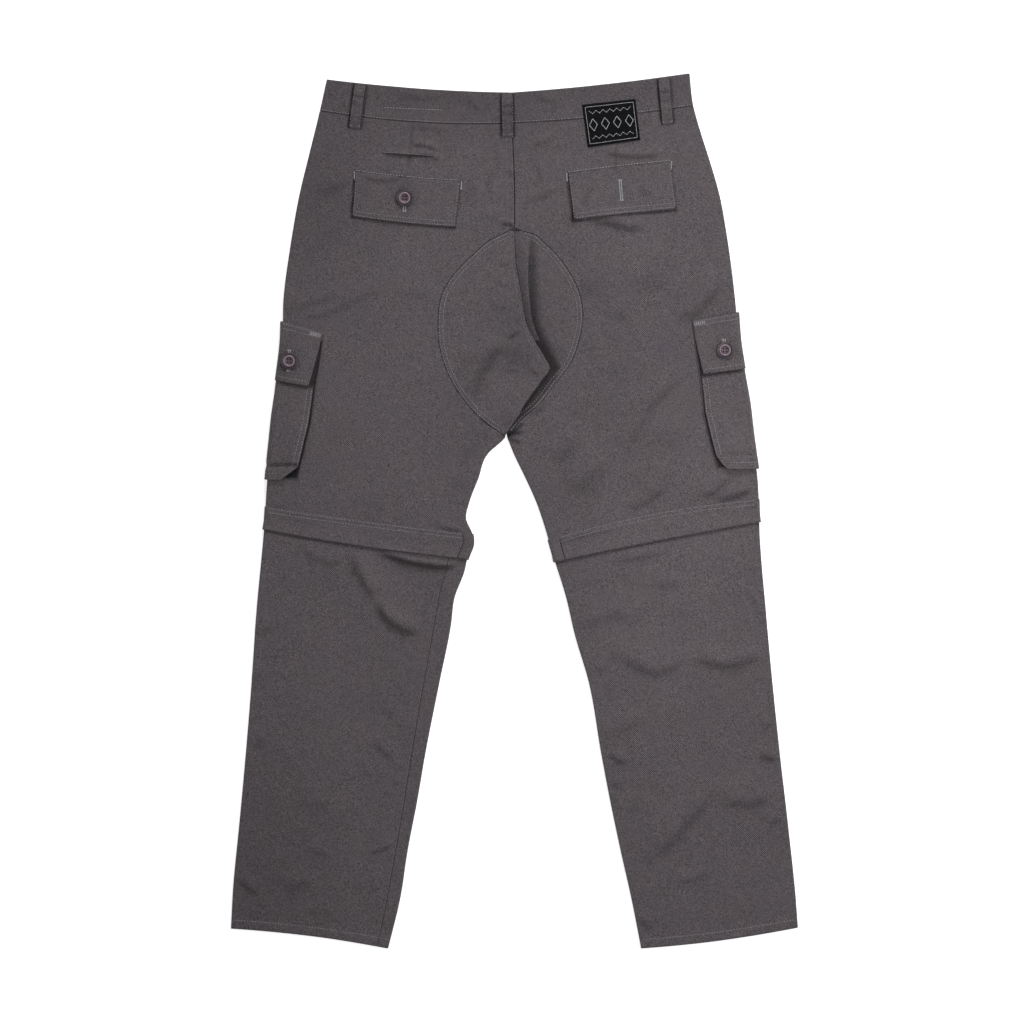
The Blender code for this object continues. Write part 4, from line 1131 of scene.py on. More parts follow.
def pleat_profile(seam, outline, fold):
    """How far across and how high the pleat's cloth runs on every row, from the seam."""
    y = seam[:, 1]
    high = pleat(y) * RIDGE_HEIGHT
    tuck = pleat(y) * RIDGE_TUCK
    ridge = smooth_x(SEAT_RIDGE, np.clip(y, SEAT_RIDGE[-1][0], SEAT_RIDGE[0][0]))
    wide = np.maximum(ridge - seam[:, 0], RIDGE_LEAST_WIDTH)
    wide = np.minimum(wide, np.maximum((outline[:, 0] - fold[:, 0]) * 0.4, 0.5))
    profile = [
        (0 * y, 0 * y), (wide * 0.45, high * 0.62), (wide * 0.85, high * 0.98), (wide, high * 0.8),
        (wide - tuck * 0.6, high * 0.38), (wide - tuck * 0.5, high * 0.06), (wide * 1.08 + 0.3, 0 * y),
    ]
    controls = np.stack([np.stack(pair, 1) for pair in profile])
    return catmull(controls, np.linspace(0, len(profile) - 1, PLEAT_COLUMNS))


def seat_patch_right():
    """The right half: it rises from the seam to a ridge, tucks under it and runs out flat."""
    seam, outline = seat_outline(RIGHT)
    y = seam[:, 1]
    fold = seam + ways(seam, RIGHT) * SEAM_GAP / 2 - np.column_stack([2.5 * lap(y), 0 * y])
    bent = pleat_profile(seam, outline, fold)
    room = np.maximum(outline[:, 0] - fold[:, 0], 1e-6)
    columns = []
    for column in bent:
        share = np.clip(column[:, 0] / room, 0, 1)[:, None]
        base = on_face(fold + (outline - fold) * share, 1, 0, seat_right)
        base[:, 2] += column[:, 1]
        columns.append(base)
    foot = (bent[-1, :, 0] / room)[:, None]
    for u in np.linspace(0, 1, PLEAT_COLUMNS)[1:]:
        share = foot + (1 - foot) * u
        columns.append(on_face(fold + (outline - fold) * share, 1, 0, seat_right))
    outer = np.stack(columns, 1)
    return outer, outer - upward_normals(outer) * PLEAT_CLOTH


def upward_normals(grid):
    """Unit normals of a grid of points whose far columns face up."""
    square = np.cross(np.gradient(grid, axis=0), np.gradient(grid, axis=1))
    square /= np.maximum(np.linalg.norm(square, axis=2, keepdims=True), 1e-9)
    return square * np.sign(np.sum(square[:, -10:, 2], axis=1))[:, None, None]


def seat_painted_shade(grid):
    """Painted shade on the seat's right half beside the pleat and under the lap."""
    y, limit, soft, dark = np.array(SEAT_SHADE, float)[::-1].T
    at = grid[..., 1]
    inside = (np.interp(at, y, limit) - grid[..., 0]) / np.interp(at, y, soft)
    crest = smooth_x(SEAT_RIDGE, np.clip(at, SEAT_RIDGE[-1][0], SEAT_RIDGE[0][0]))
    beyond_crest = smooth_step((grid[..., 0] - crest + 0.8) / 1.6)
    free = np.where(at > SEAT_RIDGE[-1][0], beyond_crest, 1.0)
    return -np.interp(at, y, dark) * smooth_step(inside) * free


def add_seat_patches():
    for side, grids in ((LEFT, seat_patch_left()), (RIGHT, seat_patch_right())):
        word = SIDES[side]
        shade = seat_painted_shade(grids[0]) if side == RIGHT else None
        piece = cloth_wall(f"seat_patch_{word}_cloth", *grids, "twill_bias", painted_shading=shade)
        name = f"seat_patch_{word}"
        dress(piece, name, "twill", rests_on=(f"front_{word}",), **sheet_of(name))


def lower_span(side, spacing):
    """Lines across a lower leg, from just under the zip to the hem."""
    start, end = cross("band_top", side, LOWER_START), cross("hem", side)
    run = np.linspace(0, 1, steps(480, spacing))
    inner_y = start[1] + (end[1] - start[1]) * run
    y_outer = start[0] + (end[0] - start[0]) * run
    inner, inward = edge(INNER[side], inner_y, side)
    bow = start[2] * (1 - run) + end[2] * run
    seam = smooth_x(INSEAM_LEFT, inner_y) if side == LEFT else None
    return Span(side, y_outer, inner, inward, None, bow, seam)


def add_lower_legs():
    """The back of each leg and the front. The left front rolls over its inner fold to the inseam."""
    for side, word in SIDES.items():
        over, under = lower_span(side, FINE), lower_span(side, COARSE if side == RIGHT else FINE)
        back = [("outer", a) for a in NOSE_ANGLES]
        front = [("outer", -a) for a in NOSE_ANGLES] + flat_columns("bottom", 200, COARSE)
        if side == LEFT:
            reach = over.reach - SEAM_GAP / 2 / over.width
            back += [("top", u * reach) for u in np.linspace(0, 1, 74)[1:]]
            front += [("inner", a) for a in (-90, -60, -30, 0, 30, 60, 90)]
            last = under.reach + SEAM_GAP / 2 / under.width
            front += [("top", 1 + (last - 1) * t) for t in np.linspace(0, 1, 10)[1:]]
        else:
            back += flat_columns("top", 200) + [("inner", a) for a in reversed(NOSE_ANGLES)]
            front += [("inner", -a) for a in reversed(NOSE_ANGLES)]
        walls = [over.grid(back, depth) for depth in (0, CLOTH)]
        piece = cloth_wall(f"lower_back_{word}_cloth", *walls, "twill")
        rests = (f"lower_front_{word}",)
        dress(piece, f"lower_back_{word}", "twill", rests_on=rests, **sheet_of("lower_back"))
        walls = [under.grid(front, depth) for depth in (0, CLOTH)]
        piece = cloth_wall(f"lower_front_{word}_cloth", *walls, "twill")
        dress(piece, f"lower_front_{word}", "twill", **sheet_of("lower_front"))


# Where the band's two ends meet, as shares of the leg's width, its rows and its gape
BAND_SEAM_START = 0.956
BAND_SEAM_END = 0.959
BAND_ROWS = 16
BAND_GAPE = 0.9


def ring_columns(seam_u, spacing=FINE):
    """Columns all round a leg, from the inseam over the top, round and back beneath to the inseam."""
    count = steps(235, spacing)
    columns = [("top", u) for u in np.linspace(seam_u, 0, count + 1)[:-1]]
    columns += [("outer", a) for a in (90, 60, 30, 0, -30, -60, -90)]
    columns += [("bottom", u) for u in np.linspace(0, 1, count // 2)[1:-1]]
    columns += [("inner", a) for a in (-90, -60, -30, 0, 30, 60)]
    return columns


def ring_span(side, upper, lower, rows):
    """Lines across a leg between two cross seams."""
    t = np.linspace(0, 1, rows)
    inner, inward = edge(INNER[side], upper[1] + (lower[1] - upper[1]) * t, side)
    y_outer = upper[0] + (lower[0] - upper[0]) * t
    return Span(side, y_outer, inner, inward, None, upper[2] + (lower[2] - upper[2]) * t)


def add_zip(side):
    word = SIDES[side]
    upper, lower = (cross("band_top", side, step) for step in (ZIP_START, ZIP_END))
    tape = ring_span(side, upper, lower, 4)
    columns = ring_columns(1.0, COARSE)
    walls = [tape.grid(columns, depth) for depth in (0, CLOTH)]
    piece = cloth_wall(f"zip_{word}_tape", *walls, "zip", closed=True)
    dress(piece, f"zip_{word}", "zip", rests_on=(f"lower_front_{word}",), **sheet_of("zip"))


def add_zip_band(side):
    """The band over the zip. Its lower edge stands up a little, but not beneath the leg."""
    word = SIDES[side]
    band = ring_span(side, cross("band_top", side), cross("band_bottom", side), BAND_ROWS)
    columns = ring_columns(BAND_SEAM_START) + [("inner", 90), ("top", BAND_SEAM_END)]
    beneath = np.array([zone == "bottom" for zone, _ in columns])
    down = np.linspace(0, 1, BAND_ROWS)
    stand = BAND_OFF + BAND_GAPE * smooth_step((down - 0.55) / 0.45)
    walls = []
    for thick, least in ((CLOTH, 0), (0, CLOTH / 2)):
        wall = band.grid(columns, -stand - thick)
        wall[:, beneath] = band.grid(columns, -BAND_OFF - thick)[:, beneath]
        wall[..., 2] = np.maximum(wall[..., 2], least)
        walls.append(wall)
    piece = cloth_wall(f"zip_band_{word}_cloth", *walls, "twill_trim")
    dress(piece, f"zip_band_{word}", "twill", rests_on=(f"zip_{word}",), **sheet_of("zip_band"))


def add_zips_and_bands():
    for side in SIDES:
        add_zip(side)
        add_zip_band(side)


def waist_grid(top_name, seam_name, zone, depth, gap):
    """Both halves of a waistband layer, as two grids that meet at the centre."""
    halves = []
    for side in SIDES:
        upper = np.array(cross(top_name, side))
        lower = np.array(cross(seam_name, side, SEAM_GAP / 2))
        outer_y, inner_y, bow = np.linspace(upper, lower, 17).T
        inner = np.stack([smooth_x(CENTRE_BACK, inner_y) + side * gap, inner_y], 1)
        span = Span(side, outer_y, inner, bow=bow)
        columns = [("outer", a if zone == "top" else -a) for a in NOSE_ANGLES]
        columns += [(zone, u) for u in np.linspace(0, 1, steps(220) + 1)[1:]]
        halves.append(span.grid(columns, depth))
    return halves


def add_waistband():
    """One strip across the back, and two on the front that meet at the centre."""
    layers = [waist_grid("waist_top", "waist_seam", "top", depth, 0) for depth in (0, WAIST_CLOTH)]
    joined = [np.concatenate([left, right[:, -2::-1]], 1) for left, right in layers]
    piece = cloth_wall("waistband_back_cloth", *joined, "twill_trim")
    rests = ("waistband_front_left",)
    dress(piece, "waistband_back", "twill", rests_on=rests, **sheet_of("waistband_back"))
    gap = SEAM_GAP / 2
    depths = (0, WAIST_CLOTH)
    layers = [waist_grid("front_top", "front_seam", "bottom", depth, gap) for depth in depths]
    for side, first, second in zip(SIDES, *layers):
        word = SIDES[side]
        piece = cloth_wall(f"waistband_front_{word}_cloth", first, second, "twill_trim")
        dress(piece, f"waistband_front_{word}", "twill", **sheet_of("waistband_front"))


def quad_grid(corners, across, down, dip=0.0):
    """Plan points over a four-cornered piece, rows from its top edge to its bottom edge.
    The dip moves the middle of its top and bottom edges down."""
    tl, tr, br, bl = (np.array(c, float) for c in corners)
    u = np.linspace(0, 1, across)[None, :, None]
    v = np.linspace(0, 1, down)[:, None, None]
    plan = (tl * (1 - u) + tr * u) * (1 - v) + (bl * (1 - u) + br * u) * v
    plan[..., 1] -= 4 * dip * (u * (1 - u))[..., 0]
    return plan


def lay_on_back(plan, off):
    """The plan points of a grid, standing off the upper layer by a number or a grid of them."""
    rows, columns = plan.shape[:2]
    off = (off * np.ones((rows, columns))).reshape(-1)
    return on_face(plan.reshape(-1, 2), 1, -off).reshape(rows, columns, 3)


FLAP_DIP = {LEFT: 1.6, RIGHT: -0.6}


def back_flap_off(side, u, v):
    """How far a back flap's underside stands off the leg: it is sewn along its top, and its lower
    edge and corners stand a little up."""
    rest = LAYER_GAP + 0.9 * smooth_step((v - 0.2) / 0.8)
    ripple = 0.35 * np.sin(9.0 * u + 1.5 * side) * v + 0.25 * np.sin(21.0 * u + 2.0) * v * v
    hollow = -0.4 * np.exp(-((u - 0.2) ** 2) / 0.01 - ((v - 0.45) ** 2) / 0.05)
    return np.maximum(rest + ripple * 0.6 + hollow * v, 0.2)


def flap_shares(rows, columns):
    u = np.linspace(0, 1, columns)[None, :] * np.ones((rows, 1))
    v = np.linspace(0, 1, rows)[:, None] * np.ones((1, columns))
    return u, v


FLAP_ROWS = 26
FLAP_COLUMNS = 56


def add_back_flaps_and_label():
    for side, corners in BACK_FLAPS.items():
        name = f"back_flap_{SIDES[side]}"
        plan = quad_grid(corners, FLAP_COLUMNS, FLAP_ROWS, FLAP_DIP[side])
        stand = back_flap_off(side, *flap_shares(FLAP_ROWS, FLAP_COLUMNS))
        walls = [lay_on_back(plan, stand + thick) for thick in (FLAP_CLOTH, 0)]
        piece = cloth_wall(f"{name}_cloth", *walls, "twill_trim")
        dress(piece, name, "twill", rests_on=(f"back_{SIDES[side]}",), **sheet_of("back_flap"))
    plan = quad_grid(LABEL, 28, 22)
    walls = [lay_on_back(plan, LABEL_OFF + thick) for thick in (CLOTH, 0)]
    piece = cloth_wall("label_patch_cloth", *walls, "label")
    rests = ("waistband_back", "back_right")
    dress(piece, "label_patch", "label", rests_on=rests, **sheet_of("label_patch"))


def loop_frame(name):
    """A belt loop's plan points and stand-off, as functions of shares across and along it."""
    upper, lower = (np.array(p, float) for p in BELT_LOOPS[name])
    run = (lower - upper) / np.linalg.norm(lower - upper)
    half = np.array([run[1], -run[0]]) * LOOP_WIDTH / 2

    def plan(u, v):
        return upper + (lower - upper) * v[..., None] - half * (2 * u[..., None] - 1)

    def stand(v):
        free = smooth_step(v / LOOP_SEWN_SHARE) * smooth_step((1 - v) / LOOP_SEWN_SHARE)
        dents = [deep * np.exp(-((v - at) / half_wide) ** 2) for at, deep, half_wide in LOOP_DENTS]
        return LAYER_GAP + LOOP_RISE * free - sum(dents) * free

    return plan, stand


def add_belt_loops():
    """Each loop is sewn down at both ends and stands off the waistband between them."""
    for name in BELT_LOOPS:
        plan, stand = loop_frame(name)
        u, v = flap_shares(34, 9)
        crown = 0.35 * np.sin(math.pi * u)
        outer = lay_on_back(plan(u, v), stand(v) + CLOTH + crown)
        inner = lay_on_back(plan(u, v), stand(v) + crown)
        piece = cloth_wall(f"{name}_cloth", outer, inner, "twill_trim")
        dress(piece, name, "twill", rests_on=("waistband_back",), **sheet_of("belt_loop"))


def fold_distances(back, front):
    """Distances round the outer fold, from an edge on the back to an edge on the front."""
    on_back = np.linspace(back, FOLD_ARC, 20)
    nose = np.linspace(FOLD_ARC, -FOLD_ARC, 9)[1:-1]
    on_front = np.linspace(-FOLD_ARC, -front, 24)
    return np.concatenate([on_back, nose, on_front])


def flap_gape(s, v):
    """How far a cargo flap's free lower part stands off its pocket, on the back only."""
    return 1.3 * smooth_step((v - 0.25) / 0.75) * smooth_step((s - 4) / 14)


def cargo_flap_point(side, s, v, off):
    """Points of a cargo flap at a distance round the fold and a share down it."""
    top_line, bottom_line = flap_line(side, "flap_top"), flap_line(side, "flap_bottom")
    y = top_line(s) * (1 - v) + bottom_line(s) * v
    return wrap(side, s, y, CARGO_FLAP_OFF + off + flap_gape(s, v))


def flap_back_edge(side, v):
    upper, lower = (wrap_distance(width) for width in CARGO[side]["flap_back"])
    return upper + (lower - upper) * v


def add_cargo_flap(side):
    front = wrap_distance(CARGO[side]["flap_front"])
    sheets = [[], []]
    for v in np.linspace(0, 1, 30):
        s = fold_distances(flap_back_edge(side, v), front)
        sheets[0].append(cargo_flap_point(side, s, v, FLAP_CLOTH))
        sheets[1].append(cargo_flap_point(side, s, v, 0))
    name = f"cargo_flap_{SIDES[side]}"
    piece = cloth_wall(f"{name}_cloth", *(np.stack(sheet) for sheet in sheets), "twill_trim")
    rests = (f"cargo_pocket_{SIDES[side]}",)
    dress(piece, name, "twill", rests_on=rests, **sheet_of("cargo_flap"))


# The pocket face's lower corner and the crease along its bottom, which is fainter on the right
CORNER_ROUND = {LEFT: 18.0, RIGHT: 9.0}
BOTTOM_CREASE = {LEFT: 1.0, RIGHT: 0.25}
CORNER_START = 0.905


def face_back(side, t):
    """Width of the pocket's face on the back, from its top (0) to its bottom (1)."""
    return wrap_distance(np.interp(t, (0, FACE_BEND, 1), CARGO[side]["face_back"]))


def face_corner(side, t):
    """How far the face's lower corner turns in, where the bellows behind it shows."""
    turn = np.clip((t - CORNER_START) / (1 - CORNER_START), 0, 1)
    return CORNER_ROUND[side] * turn ** 1.2


def pocket_off(side, s, y):
    """The face stands off its gusset, most at its back edge near the bottom, where it gapes."""
    edge_up = smooth_step((s - 8) / 24) * smooth_step((150 - y) / 70)
    tuck = CARGO[side]["bottom"] + 17 - y
    crease = -1.3 * BOTTOM_CREASE[side] * np.exp(-(tuck / 3.2) ** 2) * smooth_step((s + 4) / 6)
    return POCKET_OFF + pocket_bulge(side, s, y) + 2.2 * edge_up + crease


def pocket_point(side, s, v, off):
    y = pocket_top(side)(s) * (1 - v) + CARGO[side]["bottom"] * v
    return wrap(side, s, y, pocket_off(side, s, y) + off)


def pocket_painted_shade(side, s, y):
    """Painted shade under the flap, in the wedge beside it and in the crease near the bottom."""
    below = flap_line(side, "flap_bottom")(s) - y
    on_back = smooth_step(s / 6)
    wedge = 0.75 * smooth_step(1 - below / 1.5)
    under = 0.5 * smooth_step(1 - np.abs(below - 1.5) / 4.0)
    crease = 0.85 * BOTTOM_CREASE[side] * np.exp(-((y - CARGO[side]["bottom"] - 18) / 1.5) ** 2)
    return -on_back * np.maximum(np.maximum(wedge, under), crease)


def add_cargo_pocket(side):
    """The pocket's face, round the outer fold over its gusset."""
    front = wrap_distance(CARGO[side]["face_front"])
    sheets, shade = [[], []], []
    corner = 1 - (1 - CORNER_START) * np.linspace(1, 0, 18)[1:] ** 2
    for v in np.concatenate([np.linspace(0, CORNER_START, 64), corner]):
        s = fold_distances(face_back(side, v) - face_corner(side, v), front)
        sheets[0].append(pocket_point(side, s, v, CLOTH))
        sheets[1].append(pocket_point(side, s, v, 0))
        y = pocket_top(side)(s) * (1 - v) + CARGO[side]["bottom"] * v
        shade.append(pocket_painted_shade(side, s, y))
    grids = [np.stack(sheet) for sheet in sheets]
    piece = cloth_wall(f"cargo_pocket_{SIDES[side]}_cloth", *grids, "twill", painted_shading=np.stack(shade))
    rests = (f"cargo_gusset_{SIDES[side]}", f"back_{SIDES[side]}")
    dress(piece, f"cargo_pocket_{SIDES[side]}", "twill", rests_on=rests, **sheet_of("cargo_pocket"))


def gusset_paths(side):
    """The gusset's edges on the leg and on the face, as distances round the fold and Y."""
    sizes = CARGO[side]
    top_line = pocket_top(side)
    floor = sizes["bottom"] + GUSSET_INSET["bottom"]
    front = wrap_distance(sizes["face_front"]) - GUSSET_INSET["front"]
    t = np.linspace(0, 1, 70)
    back = face_back(side, t) + sizes["gusset_step"]
    down = top_line(back) * (1 - t) + floor * t
    up = floor * (1 - t) + top_line(-front) * t
    mitre = GUSSET_WIDTH + GUSSET_MITRE
    lowest = fold_distances(back[-1] - mitre, front - mitre)
    level = np.full(len(lowest), floor)
    forward = np.full(len(t), -front)
    raised = floor + GUSSET_WIDTH
    sewn = [(back, down), (lowest, level), (forward, up)]
    inner = [
        (back - GUSSET_WIDTH, np.maximum(down, raised)),
        (lowest, level + GUSSET_WIDTH),
        (forward + GUSSET_WIDTH, np.maximum(up, raised)),
    ]
    return [tuple(np.concatenate(part) for part in zip(*path)) for path in (sewn, inner)]


def gusset_painted_shade(sewn, shape):
    """Painted shade, darker towards the face that hides it, on the back of the leg."""
    on_back = smooth_step((sewn[0] - 6) / 10)[:, None]
    share = np.linspace(0, 1, shape[1])[None, :]
    return -0.88 * on_back * smooth_step((share - 0.03) / 0.15)


def add_cargo_gusset(side):
    """A strip under the face's back, bottom and front edges, which joins the face to the leg."""
    sewn, raised = gusset_paths(side)
    sheets = []
    for off in (GUSSET_OFF + CLOTH, GUSSET_OFF):
        lines = []
        for share in np.linspace(0, 1, 9):
            s = sewn[0] * (1 - share) + raised[0] * share
            y = sewn[1] * (1 - share) + raised[1] * share
            lines.append(wrap(side, s, y, off + share * GUSSET_RISE * pocket_bulge(side, *raised)))
        sheets.append(np.stack(lines, 1))
    shade = gusset_painted_shade(sewn, sheets[0].shape)
    piece = cloth_wall(f"cargo_gusset_{SIDES[side]}_cloth", *sheets, "twill_trim", painted_shading=shade)
    rests = (f"back_{SIDES[side]}",)
    dress(piece, f"cargo_gusset_{SIDES[side]}", "twill", rests_on=rests, **sheet_of("cargo_gusset"))


# Buttons

def turned(outline, centre, sides):
    """Points and faces of a closed turned form. The outline runs from beneath to the top."""
    turn = np.linspace(0, 2 * math.pi, sides, endpoint=False)
    rings = [
        centre + np.stack([reach * np.cos(turn), reach * np.sin(turn), 0 * turn + height], 1)
        for reach, height in outline
    ]
    faces = [list(range(sides))[::-1], list(range((len(rings) - 1) * sides, len(rings) * sides))]
    for low in range(0, (len(rings) - 1) * sides, sides):
        for k in range(sides):
            m = (k + 1) % sides
            faces.append([low + k, low + m, low + sides + m, low + sides + k])
    return np.concatenate(rings), faces


# A button's form from beneath to the top: share of its radius, share of its thickness, and a tone
# that paints a highlight on the raised ring and makes the flange darker
BUTTON_OUTLINE = [
    (0.55, 0.0, 0), (0.80, 0.03, 0), (0.93, 0.16, -0.8), (0.99, 0.34, -0.8), (1.0, 0.50, -0.75),
    (0.985, 0.62, -0.7), (0.94, 0.68, -0.5), (0.88, 0.66, -0.55), (0.80, 0.58, -0.7),
    (0.76, 0.56, -0.7), (0.73, 0.64, -0.1), (0.70, 0.84, 1.0), (0.655, 0.97, 1.9),
    (0.58, 1.0, 2.1), (0.51, 0.95, 1.3),
    (0.46, 0.80, 0.3), (0.42, 0.62, -0.1), (0.37, 0.55, 0.1), (0.24, 0.54, 0.2), (0.08, 0.54, 0.2),
]
HOLE_REACH = 2.45
HOLE_RADIUS = 1.0
BUTTON_SIDES = 64


def add_button(name, centre, off):
    """A turned four-hole button with a double rim."""
    x, y = (np.array([float(v)]) for v in centre)
    seat = np.array([centre[0], centre[1], top(x, y)[0] + off])
    outline = [(across * BUTTON_RADIUS, up * BUTTON_THICK) for across, up, _ in BUTTON_OUTLINE]
    points, faces = turned(outline, seat, BUTTON_SIDES)
    button_shading = np.repeat([painted_shading for _, _, painted_shading in BUTTON_OUTLINE], BUTTON_SIDES)
    piece = finish_object(f"{name}_turned", points, faces, "button", button_shading)
    cutters = []
    for k in range(4):
        turn = math.radians(45 + 90 * k)
        middle = seat + [HOLE_REACH * math.cos(turn), HOLE_REACH * math.sin(turn), 0]
        points, faces = turned([(HOLE_RADIUS, -1.0), (HOLE_RADIUS, BUTTON_THICK)], middle, 20)
        cutters.append(finish_object(f"{name}_cutter_{k}", points, faces, "button"))
        cut = piece.modifiers.new(f"hole_{k}", "BOOLEAN")
        cut.object = cutters[-1]
        cut.solver = "EXACT"
    bpy.context.view_layer.update()
    cut_piece = piece.evaluated_get(bpy.context.evaluated_depsgraph_get())
    cut_mesh = bpy.data.meshes.new_from_object(cut_piece)
    piece.modifiers.clear()
    piece.data = cut_mesh
    for cutter in cutters:
        bpy.data.objects.remove(cutter)
    piece.data.shade_smooth()
    piece.data.set_sharp_from_angle(angle=math.radians(50))
    dress(piece, name, "button")
    return seat


def add_button_thread(seats):
    """Dark sewing thread that fills the buttons' holes."""
    points, faces, count = [], [], 0
    for seat in seats:
        for k in range(4):
            turn = math.radians(45 + 90 * k)
            middle = seat + [HOLE_REACH * math.cos(turn), HOLE_REACH * math.sin(turn), 0]
            reach = HOLE_RADIUS - 0.03
            stub, sides = turned([(reach, 0.1), (reach, 1.1), (reach * 0.6, 1.35)], middle, 16)
            points.append(stub)
            faces += [[count + corner for corner in face] for face in sides]
            count += len(stub)
    piece = finish_object("button_thread", np.concatenate(points), faces, "button_thread")
    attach(piece, "root")


# Thread

# A stitch's form: share along it, share of its girth, rise of its middle
STITCH_PROFILE = [
    (0.0, 0.30, -0.35), (0.18, 0.85, 0.55), (0.5, 1.0, 1.0), (0.82, 0.85, 0.55), (1.0, 0.30, -0.35),
]


def path_length(path):
    return np.sum(np.linalg.norm(np.diff(path, axis=0), axis=1))


class Thread:
    """Gathers many small stitches into one mesh."""

    def __init__(self, name, material="thread"):
        self.name, self.material = name, material
        self.points, self.faces, self.count = [], [], 0

    def bars(self, start, end, square, width, height, sides=5):
        """Rounded bars from start to end points, lying along the surface."""
        run = end - start
        length = np.linalg.norm(run, axis=1, keepdims=True)
        run = run / np.maximum(length, 1e-9)
        across = np.cross(square, run)
        turns = np.linspace(0, 2 * math.pi, sides, endpoint=False)
        rings = []
        for t, girth, rise in STITCH_PROFILE:
            centre = start + (end - start) * t + square * height * 0.35 * rise
            wide, high = across * width / 2 * girth, square * height / 2 * girth
            ring_highlight_and_dark_flange = [centre + wide * math.cos(turn) + high * math.sin(turn) for turn in turns]
            rings.append(np.stack(ring_highlight_and_dark_flange, 1))
        block = np.stack(rings, 1).reshape(-1, 3)
        number, ring_count = len(start), len(STITCH_PROFILE)
        base = self.count + np.arange(number)[:, None] * ring_count * sides
        for r in range(ring_count - 1):
            for k in range(sides):
                m = (k + 1) % sides
                corners = [r * sides + k, r * sides + m, (r + 1) * sides + m, (r + 1) * sides + k]
                self.faces += (base + np.array(corners)[None, :]).tolist()
        self.faces += (base + np.arange(sides)[::-1][None, :]).tolist()
        self.faces += (base + (ring_count - 1) * sides + np.arange(sides)[None, :]).tolist()
        self.points.append(block)
        self.count += len(block)

    def row(self, path, square, pitch=3.4, gap=1.0, width=0.62, height=0.45):
        """A row of stitches along a path of surface points with their normals."""
        length = np.linalg.norm(np.diff(path, axis=0), axis=1)
        run = np.concatenate([[0], np.cumsum(length)])
        number = max(1, int(run[-1] / pitch))
        begin = np.linspace(0, run[-1] - pitch, number) + gap / 2

        def at(where, values):
            return np.stack([np.interp(where, run, values[:, i]) for i in range(3)], 1)

        upright = at(begin, square)
        upright /= np.linalg.norm(upright, axis=1)[:, None]
        self.bars(at(begin, path), at(begin + pitch - gap, path), upright, width, height)

    def plan_row(self, plan, off=0.0, height=top, **sizes):
        """A row over plan points, on the face that stands off the upper layer by off."""
        plan = resample(np.asarray(plan, float), max(4, int(path_length(plan) / 2)))
        square = normals_on(height, plan[:, 0], plan[:, 1])
        z = height(plan[:, 0], plan[:, 1])
        self.row(np.column_stack([plan, z]) + square * off, square, **sizes)

    def grid_row(self, path, **sizes):
        """A row along points of a piece's own face, which faces up."""
        square = np.zeros_like(path)
        square[:, 2] = 1.0
        self.row(path, square, **sizes)

    def bartack(self, start, end, off=0.0, width=2.2, height=top):
        """A dense bar of short stitches across the way from start to end."""
        start, end = np.array(start, float), np.array(end, float)
        run = (end - start) / np.linalg.norm(end - start)
        side_way = np.array([run[1], -run[0]]) * width / 2
        count = max(4, int(np.linalg.norm(end - start) / 0.75))
        middle = start + (end - start) * np.linspace(0, 1, count)[:, None]
        edges = []
        for sign in (-1, 1):
            plan = middle + side_way * sign
            edges.append(np.column_stack([plan, height(plan[:, 0], plan[:, 1]) + off]))
        square = normals_on(height, middle[:, 0], middle[:, 1])
        self.bars(*edges, square, 0.7, 0.8)

    def make(self):
        points = np.concatenate(self.points)
        piece = finish_object(self.name, points, self.faces, self.material, turn_out=False)
        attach(piece, "root")
        return piece


def cross_plan(name, side, u0, u1, step=0.0):
    """Plan points along a cross seam, between two shares of the leg's width from the outer fold."""
    outer, inner, bow = cross(name, side, step)
    u = np.linspace(u0, u1, 60)
    y = outer + (inner - outer) * u + 4 * bow * u * (1 - u)
    start = smooth_x(OUTER[side], y)
    return np.stack([start + (inner_edge(side, y) - start) * u, y], 1)


def stitch_panels():
    """Rows on the centre back seam, the seat patch, the hems, the inseam and above the left flap."""
    thread = Thread("stitches_panels")
    faint = Thread("stitches_panels_faint", "faint_thread")
    for step in (-7.8, -1.6):
        line = along(CENTRE_BACK, 464, PATCH_TOP + 2, 60)
        faint.plan_row(line + ways(line, RIGHT) * step)
    for side in SIDES:
        outline = along(PATCH_EDGE[side], PATCH_TOP - 1, CROTCH + 5, 120)
        height = seat_left if side == LEFT else seat_right
        for inset in (1.8, 6.2):
            thread.plan_row(outline - ways(outline, side) * inset, height=height)
        thread.plan_row(cross_plan("hem", side, 0.02, 0.98, 10.5), width=0.7)
    seam = along(SEAT_SEAM, PATCH_TOP - 3, 176, 90)
    faint.plan_row(seam + ways(seam, LEFT) * 4.6, height=seat_left)
    lower_seam = along(SEAT_SEAM, 236, 178, 40)
    faint.plan_row(lower_seam + ways(lower_seam, LEFT) * 1.8, height=seat_left)
    inseam = along(INSEAM_LEFT, -72, -514, 160)
    faint.plan_row(inseam + ways(inseam, LEFT) * 1.6)
    thread.plan_row([(-160, 431.5), (-124, 429), (-98, 427)], pitch=3.0)
    thread.make()
    faint.make()


def stitch_waist():
    thread = Thread("stitches_waist")
    faint = Thread("stitches_waist_faint", "faint_thread")
    bright = Thread("stitches_waist_bars", "bright_thread")
    for side in SIDES:
        thread.plan_row(cross_plan("waist_seam", side, 0.01, 1.0, 1.6))
    thread.plan_row([(-156.6, 484.7), (-120, 483.2), (-87, 481.7)], width=0.8)
    for name in BELT_LOOPS:
        plan, stand = loop_frame(name)
        v = np.linspace(0.02, 0.97, 40)
        for u in (0.1, 0.9):
            points = lay_on_back(plan(u * np.ones_like(v), v)[None], stand(v)[None] + CLOTH)[0]
            faint.grid_row(points, width=0.6)
        across = plan(np.array([0.12, 0.88]), np.array([0.95, 0.95]))
        bright.bartack(across[0], across[1], LAYER_GAP + CLOTH, 1.3)
    thread.make()
    faint.make()
    bright.make()


